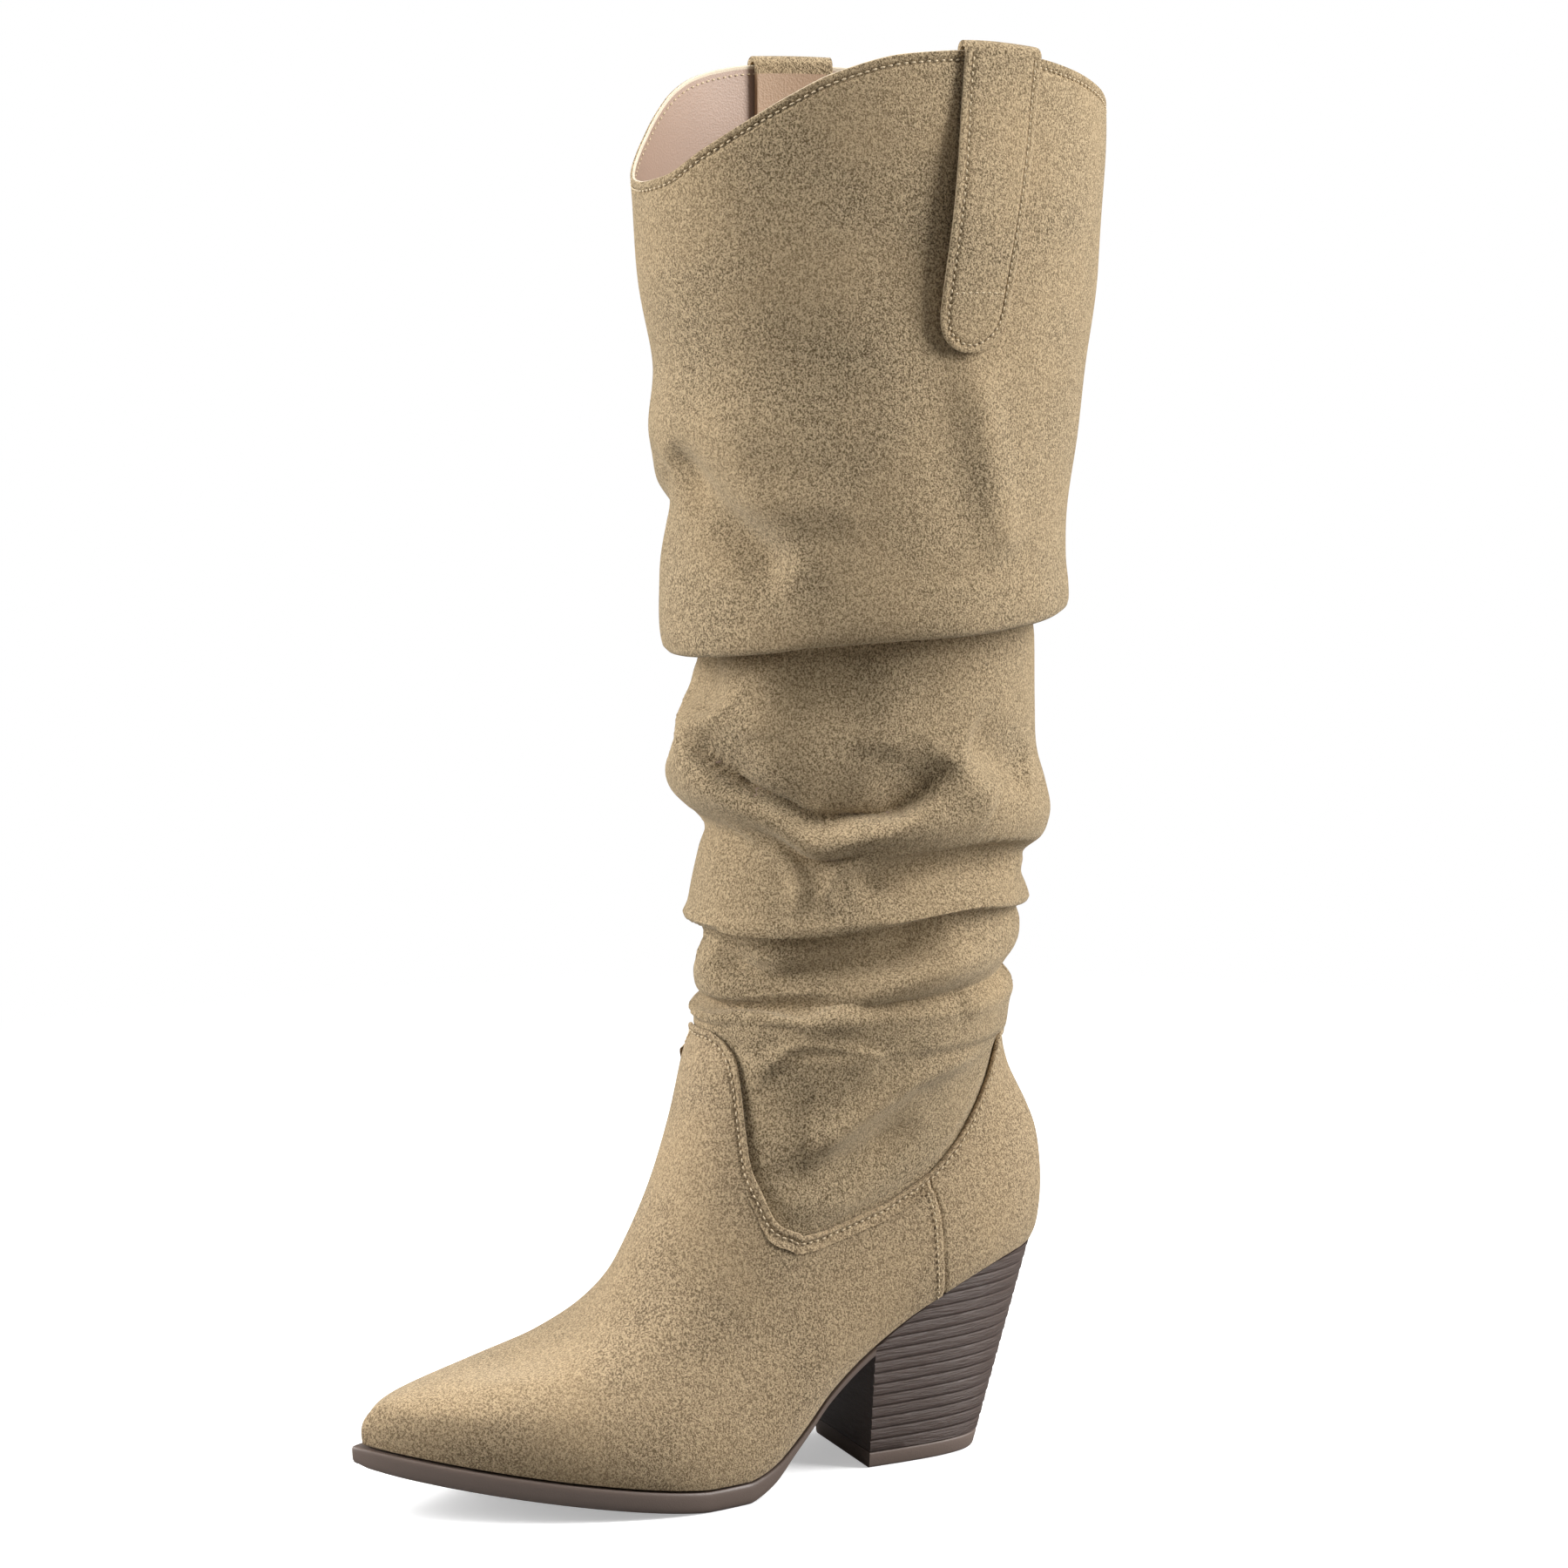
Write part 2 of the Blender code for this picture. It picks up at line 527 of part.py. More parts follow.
def make_seat_cutter(collection):
    """Body above the heel's seat, under the curve of the sole line."""
    x = np.linspace(HEEL_BACK_X - SEAT_CUTTER_MARGIN, HEEL_BASE_LENGTH, SEAT_CUTTER_STATIONS)
    high = 2.0 * HEEL_HEIGHT
    bm = bmesh.new()
    side = -BALL_WIDTH
    outline = [(a, side, b) for a, b in zip(x, sole_line(x) - SEAT_GAP)]
    outline += [(x[-1], side, high), (x[0], side, high)]
    face = bm.faces.new([bm.verts.new(Vector(p)) for p in outline])
    swept = bmesh.ops.extrude_face_region(bm, geom=[face])["geom"]
    moved = [item for item in swept if isinstance(item, bmesh.types.BMVert)]
    bmesh.ops.translate(bm, verts=moved, vec=(0, 2 * BALL_WIDTH, 0))
    bmesh.ops.recalc_face_normals(bm, faces=bm.faces[:])
    cutter = add_object("seat_cutter", bm, collection, None)
    cutter.hide_render = True
    cutter.display_type = "WIRE"
    return cutter


def make_heel(collection, cutters, heel_mat, lift_mat):
    """Top piece on the floor and the grooved block above it, cut to the seat's curve."""
    lift = [(0.0, TOP_PIECE_BEVEL), (TOP_PIECE_BEVEL_HEIGHT, 0.0), (TOP_PIECE_HEIGHT, 0.0)]
    add_object("top_piece", heel_loft(lift), collection, lift_mat)
    start = TOP_PIECE_HEIGHT + SEAT_GAP
    levels = [(start, 0.0)]
    layers = int(round((HEEL_HEIGHT + LAYERS_PAST_SEAT - start) / LAYER_PITCH))
    for k in range(1, layers + 1):
        z = start + k * LAYER_PITCH
        levels += [(z - GROOVE_SHARE * LAYER_PITCH, 0.0), (z, LAYER_GROOVE)]
    block = add_object("heel_block", heel_loft(levels), collection, heel_mat)
    cut = block.modifiers.new("seat", "BOOLEAN")
    cut.operation = "DIFFERENCE"
    cut.object = make_seat_cutter(cutters)


StrapEnd = namedtuple("StrapEnd", "angle lean")
OUTER_STRAP = StrapEnd(angle=103.6, lean=-8.5)
INNER_STRAP = StrapEnd(angle=271.0, lean=8.5)


def leg_column(angle, distance):
    """Point on the leg a distance below the collar, with its outward and upward directions."""
    around = np.array([angle - 0.01, angle, angle + 0.01])
    rows = all_rows(around)
    last = len(rows) - 1
    places = np.linspace(last - STRAP_LEG_ROWS, last, 241)
    line = on_surface(rows, np.repeat(places[:, None], 3, 1))
    lengths = np.linalg.norm(np.diff(line[:, 1], axis=0), axis=-1)
    below = np.concatenate([np.cumsum(lengths[::-1])[::-1], [0.0]])
    point, left, right, above = (np.array([np.interp(distance + shift, below[::-1], line[::-1, j, k])
                                           for k in range(3)])
                                 for j, shift in ((1, 0.0), (0, 0.0), (2, 0.0), (1, 0.001)))
    up = point - above
    up /= np.linalg.norm(up)
    out = np.cross(right - left, up)
    return point, out / np.linalg.norm(out), up, np.linalg.norm(right - left) / 0.02


def strap_points(strap):
    """Grid of the strap's middle surface: from the inner end over the collar to the outer, round end."""
    half_wall = SHAFT_WALL / 2
    reach = half_wall + STRAP_GAP + STRAP_THICKNESS / 2
    centre = np.radians(strap.angle)
    _, _, _, radius = leg_column(centre, 0.0)
    round_end = STRAP_END_WIDTH / 2
    inner = [(-1, s, 0.0, 1.0) for s in np.linspace(STRAP_INNER_LEG, 0.0, STRAP_INNER_STATIONS)]
    straight = STRAP_LOOP_RISE - reach
    turn = [(None, straight, a, 1.0) for a in np.linspace(np.pi, 0.0, STRAP_LOOP_STATIONS)]
    legs = np.linspace(0.0, STRAP_OUTER_LEG - round_end, STRAP_OUTER_STATIONS)
    outer = [(1, s, 0.0, 1.0) for s in legs]
    for a in np.linspace(0.0, np.radians(80), STRAP_END_STATIONS)[1:]:
        outer.append((1, STRAP_OUTER_LEG - round_end + round_end * np.sin(a), 0.0, np.cos(a)))
    grid = []
    for side, distance, bend, width in inner + turn + outer:
        row = []
        for w in np.linspace(-1.0, 1.0, STRAP_ACROSS_STATIONS):
            below = distance if side else 0.0
            share_down = below / STRAP_OUTER_LEG if side == 1 else 0.0
            lean = np.radians(strap.lean) * share_down
            taper = STRAP_WIDTH + (STRAP_END_WIDTH - STRAP_WIDTH) * share_down
            angle = centre + lean + w * width * taper / 2 / radius
            point, out, up, _ = leg_column(angle, below)
            middle = point - out * half_wall
            if side is None:
                row.append(middle + up * (distance + reach * np.sin(bend)) + out * reach * np.cos(bend))
                continue
            share = np.clip(below / STRAP_OUTER_LEG, 0.0, 1.0)
            front_edge = 0.5 - 0.5 * w if strap is OUTER_STRAP else 0.5 + 0.5 * w
            stand = STRAP_STANDOFF * np.sin(np.pi * share) ** 2 * (0.35 + 0.65 * front_edge)
            row.append(middle + out * side * (reach + (stand if side == 1 else 0.0)))
        grid.append(row)
    return grid


def make_strap(name, strap, collection, mat):
    obj = add_object(name, grid_mesh(strap_points(strap), False), collection, mat)
    add_wall(obj, STRAP_THICKNESS, 0.0)


def main():
    for obj in list(bpy.data.objects):
        bpy.data.objects.remove(obj, do_unlink=True)
    boot = bpy.data.collections.new("slouch_boot")
    cutters = bpy.data.collections.new("cutters")
    for collection in (boot, cutters):
        bpy.context.scene.collection.children.link(collection)
    suede = material("suede", (0.41, 0.30, 0.19), 0.9)
    rubber = material("sole_rubber", (0.22, 0.18, 0.16), 0.55)
    heel_stack = material("heel_stack", (0.12, 0.09, 0.08), 0.5)
    board = material("insole_lining", (0.55, 0.43, 0.35), 0.6)
    make_outsole(boot, rubber)
    make_heel(boot, cutters, heel_stack, rubber)
    make_insole(boot, board)
    make_upper(boot, suede)
    make_shaft(boot, suede)
    make_strap("pull_strap_outer", OUTER_STRAP, boot, suede)
    make_strap("pull_strap_inner", INNER_STRAP, boot, suede)


if __name__ == "__main__":
    main()
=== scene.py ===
"""Slouch boot in napped suede: the finished look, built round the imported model.

Frame: metres, +X to the toe, +Y to the shoe's outer side, +Z up.
"""

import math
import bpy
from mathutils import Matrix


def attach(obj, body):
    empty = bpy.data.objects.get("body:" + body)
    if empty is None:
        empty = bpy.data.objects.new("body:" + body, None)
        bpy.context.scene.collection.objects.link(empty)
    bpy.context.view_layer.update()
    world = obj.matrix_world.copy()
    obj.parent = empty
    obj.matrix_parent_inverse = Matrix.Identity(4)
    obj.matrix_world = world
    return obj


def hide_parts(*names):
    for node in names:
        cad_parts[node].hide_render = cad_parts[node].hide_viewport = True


bl_info = {
    "name": "Slouch boot",
    "version": (1, 0, 0),
    "blender": (4, 5, 0),
    "location": "View3D > Sidebar > Boot",
    "description": "Builds a slouch boot in suede with a stacked block heel, and its stage",
    "category": "Add Mesh",
}

from collections import namedtuple

import bpy
import numpy as np
from mathutils import Vector, noise

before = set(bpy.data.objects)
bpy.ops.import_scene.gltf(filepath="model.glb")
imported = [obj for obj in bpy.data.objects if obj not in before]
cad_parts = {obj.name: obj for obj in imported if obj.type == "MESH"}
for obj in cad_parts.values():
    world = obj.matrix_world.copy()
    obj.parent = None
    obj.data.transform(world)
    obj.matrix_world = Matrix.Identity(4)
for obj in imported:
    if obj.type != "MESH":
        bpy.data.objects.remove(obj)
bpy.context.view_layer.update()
MM = 0.001

# Sizes of the foot
FOOT_LENGTH = 0.242
BALL_WIDTH = 0.083
HEEL_HEIGHT = 0.071
TOE_SPRING = 0.0175
TOE_INFLARE = 0.007
ANKLE_RISE = 0.105
OUTSOLE_THICKNESS = 0.007
OUTSOLE_MARGIN = 0.0008
OUTSOLE_TOE_LEDGE = 0.0043
INSOLE_THICKNESS = 0.0022

# Sizes of the heel
HEEL_BASE_LENGTH = 0.0448
HEEL_BASE_WIDTH = 0.041
HEEL_OVERHANG = 0.02295
HEEL_BACK_SQUARENESS = 3.8
BREAST_LEAN = 0.0015
TOP_PIECE_HEIGHT = 0.0055
LAYER_PITCH = 0.00405

# Sizes of the leg and its pull straps
LEG_HEIGHT = 0.314
SHAFT_DEPTH = 0.162
SHAFT_WIDTH = 0.114
WALL = 0.0018
STRAP_WIDTH = 0.0285
STRAP_END_WIDTH = 0.0250
STRAP_THICKNESS = 0.0018
STRAP_OUTER_LEG = 0.092
STRAP_INNER_LEG = 0.030
STRAP_LOOP_RISE = 0.0026
STRAP_STANDOFF = 0.0035
STRAP_STITCH_INSET = 0.0024
BAR_RISE = 0.0185
BAR_HALF = 0.0098

SEAT_GAP = 0.0003
STRAP_GAP = 0.0004
HEEL_BACK_X = -HEEL_BASE_LENGTH / 2 - HEEL_OVERHANG
LEG_AXIS_X = HEEL_BACK_X + 0.248 * FOOT_LENGTH
ANKLE_Z = 0.61 * HEEL_HEIGHT + ANKLE_RISE

# Seams, edges and grooves of the soft pieces
SEAM_RECESS = 0.0018
SEAM_RECESS_REACH = 0.010
GROOVE_DEPTH = 0.0008
GROOVE_WIDTH = 0.0007
COLLAR_RIM = 0.0011
LINING_OFFSET = 0.0013
FOOT_LINING_OFFSET = 0.0022
FOOT_LINING_DROP = 0.003

# Sizes worked out for the straps: middle surface to middle of the wall, round end, end of the straight part.
STRAP_REACH = WALL / 2 + STRAP_GAP + STRAP_THICKNESS / 2
STRAP_END = STRAP_END_WIDTH / 2
STRAP_STRAIGHT = STRAP_OUTER_LEG - STRAP_END

# Vertex rows beside the seam and under the collar, in millimetres.
LEG_SEAM_ROWS = (-4.0, -1.2, 0.0, 0.6, 1.2, 2.0, 3.0, 4.4, 6.0)
COLLAR_ROWS = (4.8, 4.0, 3.5, 3.1, 2.8, 2.5, 2.2, 1.9, 1.5, 1.0, 0.5, 0.0)
UPPER_SEAM_ROWS = (5.4, 4.6, 4.0, 3.5, 3.1, 2.8, 2.5, 2.2, 1.9, 1.5, 1.1, 0.8, 0.5, 0.2, 0.0)

# Row places between which the leg's vertex rows follow its own rows, and where the upper's stop doing so.
EVEN_FROM = 16.0
EVEN_TO = 40.0
UPPER_EVEN_TO = 3.6

# A crease's reach in rows, in degrees past its ends and in widths, and how it fades at its ends.
CREASE_ROWS = 2.8
CREASE_DEGREES = 45.0
CREASE_WIDTHS = 2.6
CREASE_END = 0.25
CREASE_END_DEPTH = 0.12

WHITE = (1.0, 1.0, 1.0, 1.0)
LIGHT_TARGET = (0.04, 0.0, 0.2)
DARK_SIDE = (0.42, 0.90, 0.10)
CAMERA_PLACE = (0.5578, 1.1016, 0.4172)
CAMERA_TARGET = (0.04415, 0.0, 0.229)
CAMERA_LENS = 86.6

# Lower edge of the upper behind the ball: place along the foot, share of its rise at the heel's back.
SOLE_LINE = (
    (0.000, 0.975), (0.069, 0.942), (0.127, 0.884), (0.211, 0.752), (0.290, 0.568), (0.359, 0.358),
    (0.390, 0.235), (0.420, 0.131), (0.445, 0.060), (0.470, 0.018), (0.490, 0.000), (0.550, 0.000),
)
TOE_CURVE = 1.2
SEAT_ROUND_X = 2.1
SEAT_ROUND_Y = 2.5
ARCH_PLACE = 0.33
ARCH_LENGTH = 0.15
ARCH_OUTER_SIDE = 0.9
ARCH_INNER_SIDE = 1.25

# Thickness of the outsole along the foot, as shares of OUTSOLE_THICKNESS.
OUTSOLE_LINE = (
    (0.270, 0.40), (0.350, 0.42), (0.410, 0.52), (0.450, 0.86), (0.490, 1.00), (0.550, 1.00),
    (0.800, 1.00), (0.920, 0.97), (1.000, 0.82),
)

# Foot rows from the sole to the ankle.
FootRow = namedtuple("FootRow", "front back wide outer inner low front_z side_z back_z round_x round_y waist")
FOOT_ROWS = tuple(FootRow(*row) for row in (
    (0.972, 0.001, 0.555, 0.470, 0.490, 0.00, 0.000, 0.000, 0.000, 1.60, 1.25, 0.24),
    (0.9735, -0.009, 0.555, 0.488, 0.505, 0.00, 0.056, 0.047, 0.050, 1.65, 1.30, 0.20),
    (0.9640, -0.015, 0.550, 0.492, 0.510, 0.00, 0.101, 0.130, 0.150, 1.70, 1.42, 0.15),
    (0.9370, -0.015, 0.535, 0.470, 0.485, 0.02, 0.152, 0.225, 0.260, 1.80, 1.60, 0.10),
    (0.857, -0.009, 0.510, 0.435, 0.450, 0.05, 0.222, 0.315, 0.370, 1.90, 1.75, 0.06),
    (0.774, 0.004, 0.480, 0.405, 0.420, 0.12, 0.260, 0.395, 0.470, 2.00, 1.90, 0.04),
    (0.699, 0.020, 0.440, 0.395, 0.405, 0.22, 0.317, 0.480, 0.570, 2.00, 2.00, 0.02),
    (0.641, 0.032, 0.400, 0.400, 0.405, 0.36, 0.389, 0.565, 0.660, 2.00, 2.00, 0.00),
    (0.600, 0.040, 0.360, 0.415, 0.415, 0.52, 0.490, 0.655, 0.750, 2.00, 2.00, 0.00),
    (0.562, 0.045, 0.330, 0.435, 0.435, 0.70, 0.610, 0.755, 0.835, 2.00, 2.00, 0.00),
    (0.532, 0.048, 0.305, 0.460, 0.455, 0.86, 0.760, 0.860, 0.915, 2.00, 2.00, 0.00),
    (0.511, 0.049, 0.285, 0.485, 0.480, 1.00, 0.910, 0.950, 0.970, 2.00, 2.00, 0.00),
))
SEAT_BACK_X = HEEL_BACK_X + FOOT_ROWS[0].back * FOOT_LENGTH
WIDEST_X = HEEL_BACK_X + FOOT_ROWS[0].wide * FOOT_LENGTH

# Leg rows from the ankle to the collar; where heights fall from one row to the next, the leg folds over.
LegRow = namedtuple("LegRow", "front_z back_z side_z front back outer inner")
LEG_ROWS = tuple(LegRow(*row) for row in (
    (-0.005, -0.005, -0.005, 0.376, 0.300, 0.365, 0.360),
    (0.010, 0.022, 0.016, 0.380, 0.306, 0.372, 0.365),
    (0.022, 0.042, 0.030, 0.374, 0.314, 0.374, 0.365),
    (0.033, 0.064, 0.045, 0.334, 0.284, 0.346, 0.340),
    (0.045, 0.076, 0.058, 0.362, 0.300, 0.368, 0.360),
    (0.065, 0.087, 0.074, 0.372, 0.327, 0.383, 0.375),
    (0.084, 0.105, 0.096, 0.366, 0.332, 0.379, 0.372),
    (0.104, 0.120, 0.121, 0.357, 0.325, 0.366, 0.360),
    (0.119, 0.126, 0.128, 0.383, 0.350, 0.405, 0.395),
    (0.131, 0.139, 0.140, 0.376, 0.344, 0.405, 0.395),
    (0.158, 0.154, 0.160, 0.366, 0.331, 0.395, 0.385),
    (0.194, 0.165, 0.184, 0.350, 0.336, 0.385, 0.378),
    (0.219, 0.174, 0.201, 0.335, 0.339, 0.383, 0.375),
    (0.237, 0.189, 0.214, 0.377, 0.374, 0.430, 0.420),
    (0.256, 0.206, 0.231, 0.411, 0.388, 0.450, 0.445),
    (0.280, 0.223, 0.252, 0.424, 0.392, 0.448, 0.445),
    (0.309, 0.249, 0.280, 0.418, 0.380, 0.430, 0.430),
    (0.338, 0.286, 0.315, 0.393, 0.358, 0.420, 0.415),
    (0.360, 0.335, 0.353, 0.361, 0.356, 0.412, 0.408),
    (0.386, 0.406, 0.402, 0.345, 0.354, 0.408, 0.404),
    (0.408, 0.446, 0.434, 0.340, 0.346, 0.404, 0.400),
    (0.402, 0.446, 0.430, 0.388, 0.388, 0.468, 0.462),
    (0.398, 0.443, 0.425, 0.413, 0.412, 0.505, 0.500),
    (0.406, 0.449, 0.432, 0.422, 0.420, 0.520, 0.515),
    (0.430, 0.467, 0.453, 0.426, 0.418, 0.527, 0.520),
    (0.477, 0.496, 0.489, 0.423, 0.412, 0.525, 0.520),
    (0.542, 0.548, 0.545, 0.418, 0.416, 0.520, 0.515),
    (0.621, 0.621, 0.621, 0.450, 0.440, 0.512, 0.510),
    (0.694, 0.694, 0.694, 0.438, 0.463, 0.506, 0.505),
    (0.780, 0.780, 0.780, 0.472, 0.486, 0.503, 0.502),
    (0.862, 0.901, 0.891, 0.487, 0.505, 0.500, 0.500),
))
COLLAR_ROW = LegRow(front_z=0.0, back_z=0.0, side_z=0.0, front=0.489, back=0.505, outer=0.500, inner=0.500)
COLLAR = (
    (0, 0.871), (15, 0.880), (28, 0.904), (41, 0.931), (52, 0.955), (63, 0.977), (80, 0.996),
    (96, 1.000), (111, 0.996), (127, 0.985), (143, 0.969), (160, 0.952), (180, 0.944), (200, 0.952),
    (217, 0.969), (233, 0.983), (249, 0.992), (270, 0.996), (283, 0.995), (292, 0.990), (301, 0.981),
    (309, 0.966), (317, 0.942), (325, 0.915), (333, 0.895), (345, 0.878), (360, 0.871),
)
LAST_ROW = float(len(FOOT_ROWS) + len(LEG_ROWS))

# Seam between foot and leg: angle from the front, place among the rows, the same on both sides.
SEAM = (
    (0, 12.75), (10, 12.75), (16, 12.4), (23, 11.8), (33, 10.8), (42, 9.9), (50, 9.2), (60, 8.55),
    (73, 7.7), (88, 7.0), (98, 6.4), (107, 5.85), (116, 5.35), (124, 5.2), (131, 5.6), (137, 6.4),
    (143, 7.7), (149, 9.4), (156, 11.2), (165, 12.5), (180, 12.9),
)
COUNTER_SEAM = ((124.0, 5.15), (127.0, 3.5), (128.3, 2.2), (131.0, 0.0))

# Creases of the leg, from the front to the back of the outer side: depth in millimetres, negative for a
# trough, its width above and below, how sharp it is, and its course as angle from the front and place
# among the rows.
Crease = namedtuple("Crease", "depth above below power course")
CREASES = tuple(Crease(*crease) for crease in (
    (2.2, 8.0, 8.0, 2.0, ((-60, 38.2), (-40, 38.3), (-24, 38.3), (-10, 38.2))),
    (-6.0, 8.0, 8.0, 2.0, ((4, 38.9), (10, 38.55), (20, 38.15), (30, 37.75), (38, 37.4), (46, 37.0))),
    (2.0, 9.0, 9.0, 2.0, ((26, 39.6), (34, 38.8), (40, 38.2), (45, 37.8), (52, 37.3), (60, 36.9))),
    (-1.5, 12.0, 12.0, 2.0, ((77, 41.6), (82, 40.6), (87, 39.6), (92, 38.6), (97, 37.6))),
    (2.6, 8.0, 8.0, 2.0, ((95, 40.2), (100, 39.1), (105, 38.1), (110, 37.2))),
    (-2.0, 7.0, 7.0, 2.0, ((2, 31.7), (5, 30.7), (8, 29.8), (10, 28.9))),
    (1.0, 8.0, 8.0, 2.0, ((13, 31.6), (15, 30.5), (17, 29.5), (19, 28.6))),
    (-12.0, 12.5, 3.0, 1.6, ((4, 28.4), (10, 27.9), (24, 27.2), (34, 26.55), (43, 26.0), (51, 25.72),
                             (59, 25.65), (67, 25.82), (75, 26.3), (83, 27.0), (91, 27.8), (97, 28.4))),
    (1.5, 2.0, 4.0, 2.0, ((20, 27.0), (32, 26.3), (42, 25.7), (51, 25.38), (60, 25.32), (69, 25.55),
                          (78, 26.2), (87, 26.95))),
    (2.6, 7.0, 7.0, 2.0, ((97, 28.8), (101, 28.1), (106, 27.4), (112, 26.8))),
    (-3.4, 9.0, 7.0, 2.0, ((104, 29.2), (112, 28.8), (122, 28.4), (134, 28.1))),
    (-3.0, 12.0, 12.0, 2.0, ((46, 31.6), (52, 30.3), (55, 28.9), (56, 27.6), (56, 26.3))),
    (1.6, 10.0, 10.0, 2.0, ((26, 31.2), (32, 29.8), (35, 28.6))),
    (1.6, 10.0, 10.0, 2.0, ((72, 31.2), (76, 29.8), (76, 28.6))),
    (2.6, 2.2, 3.0, 1.6, ((14, 24.7), (24, 24.2), (34, 23.7), (42, 23.15), (46.5, 22.6), (48, 22.0),
                          (47, 21.1))),
    (2.6, 3.0, 2.2, 1.6, ((60, 21.1), (58, 22.0), (59.5, 22.7), (63, 23.2), (69, 23.8), (88, 24.15),
                          (108, 24.5),
                          (142, 24.9))),
    (-4.4, 5.0, 5.0, 2.0, ((66, 22.2), (74, 22.6), (88, 23.0), (110, 23.1), (147, 23.3))),
    (1.4, 3.0, 1.6, 1.6, ((-14, 20.5), (12, 20.1), (22, 19.9), (34, 19.8), (48, 19.8), (58, 19.8),
                          (68, 19.9),
                          (78, 20.0), (87, 20.1), (102, 20.2), (122, 20.2), (144, 20.1))),
    (-2.6, 1.8, 5.0, 1.6, ((-14, 19.7), (12, 19.4), (34, 19.1), (58, 19.1), (78, 19.3), (102, 19.5),
                           (144, 19.4))),
    (-6.5, 5.5, 8.0, 2.0, ((8, 18.5), (16, 18.1), (30, 17.4), (41, 17.1), (53, 17.35), (63, 17.65),
                           (76, 18.0),
                           (88, 18.4), (100, 18.8))),
    (4.0, 4.5, 7.5, 1.9, ((55, 14.0), (61, 14.6), (67, 15.3), (76, 16.2), (88, 16.9), (104, 17.4),
                          (128, 17.6))),
    (1.6, 1.8, 2.4, 1.6, ((-12, 13.9), (0, 14.0), (14, 14.2), (25, 14.55), (36, 14.5), (44, 14.2),
                          (50, 13.8))),
    (-2.2, 2.0, 5.0, 1.6, ((-12, 13.2), (0, 13.3), (14, 13.55), (25, 13.9), (36, 13.85), (44, 13.55),
                           (50, 13.1))),
    (1.3, 1.7, 6.0, 1.6, ((38, 11.6), (41, 11.9), (48, 12.35), (56, 12.45), (66, 12.25), (76, 11.75),
                          (84, 11.3))),
    (3.6, 5.0, 5.0, 1.7, ((68, 8.9), (76, 9.0), (82, 9.15), (90, 9.45), (96, 9.8), (104, 10.2), (120, 10.4),
                          (136, 10.5))),
    (-3.2, 7.0, 7.0, 2.0, ((60, 9.2), (68, 8.8), (80, 8.4), (92, 8.1), (102, 8.1), (112, 8.3))),
    (-2.2, 12.0, 12.0, 2.0, ((44, 11.2), (52, 10.6), (62, 10.0), (72, 9.7))),
    (1.4, 8.0, 8.0, 2.0, ((108, 13.9), (120, 14.3), (134, 14.65), (152, 14.9))),
))

# Where a fold's edge sits higher or lower than its row: angle, row, reach of each, millimetres up.
Lift = namedtuple("Lift", "angle row angle_reach row_reach rise")
LIFTS = tuple(Lift(*lift) for lift in (
    (52, 24.6, 11, 1.0, -6.0), (106, 20.2, 22, 1.3, 2.6), (45, 19.6, 22, 0.9, -1.2),
))

# The inner side repeats the creases with these changes.
INNER_TURN = 9.0
INNER_SHIFT = -0.12
INNER_STRENGTH = 0.85


def colour_of(name, description, default):
    return bpy.props.FloatVectorProperty(name=name, description=description, subtype="COLOR", size=3,
                                         min=0.0, max=1.0, default=default)


def length_of(name, description, low, high, default):
    return bpy.props.FloatProperty(name=name, description=description, unit="LENGTH", min=low, max=high,
                                   default=default)


def power_of(name, description, default):
    return bpy.props.FloatProperty(name=name, description=description, unit="POWER", min=0.0, default=default)


class SuedeLook(bpy.types.PropertyGroup):
    light: colour_of("Light nap", "Colour of the raised nap", (0.585, 0.45, 0.28))
    dark: colour_of("Dark nap", "Colour between the fibres", (0.10, 0.07, 0.037))
    grain: bpy.props.FloatProperty(name="Grain", description="Number of nap tufts in a metre",
                                   min=100.0, max=4000.0, default=1700.0)
    lining: colour_of("Lining", "Colour of the leg's lining", (0.43, 0.30, 0.225))
    edge: colour_of("Cut edge", "Colour of the leather's cut edges", (0.78, 0.68, 0.52))
    thread: colour_of("Thread", "Colour of the stitches", (0.72, 0.58, 0.38))


class SoleLook(bpy.types.PropertyGroup):
    rubber: colour_of("Sole", "Colour of the outsole", (0.165, 0.122, 0.10))
    stack: colour_of("Heel", "Colour of the stacked heel", (0.090, 0.060, 0.048))
    groove: length_of("Groove", "Depth of the grooves between heel layers", 0.0, 0.002, 0.0006)


class TrimSizes(bpy.types.PropertyGroup):
    edge: length_of("Edge", "Thickness of the suede at its turned edges", 0.0002, 0.003, 0.0013)
    inset: length_of("Stitch inset", "Distance of a stitch row from its edge", 0.0005, 0.01, 0.0026)
    pitch: length_of("Stitch pitch", "Distance from stitch to stitch", 0.001, 0.01, 0.0025)
    stitch: length_of("Stitch", "Thickness of the thread", 0.0001, 0.002, 0.00065)


class StageLook(bpy.types.PropertyGroup):
    key: power_of("Key light", "Power of the large light at the toe's side", 36.0)
    rim: power_of("Rim light", "Power of the light behind the heel", 44.0)
    top: power_of("Top light", "Power of the light over the boot", 11.0)


def bell(distance, width):
    return np.exp(-((distance / width) ** 2))


def from_front(degrees):
    """Degrees away from the front, the same on both sides."""
    return np.abs((degrees + 180.0) % 360.0 - 180.0)


def through_four(a, b, c, d, t):
    """Smooth curve from b to c, steered by the points before and after them."""
    return 0.5 * (2 * b + (c - a) * t + (2 * a - 5 * b + 4 * c - d) * t**2 + (3 * b - a - 3 * c + d) * t**3)


def run_along(points):
    """Distance of every point from the first one along its column."""
    run = np.cumsum(np.linalg.norm(np.diff(points, axis=0), axis=-1), axis=0)
    return np.concatenate([np.zeros((1,) + run.shape[1:]), run])


def down_from_edge(points):
    """Distance of every point from the last one of its column."""
    return run_along(points[::-1])[::-1]


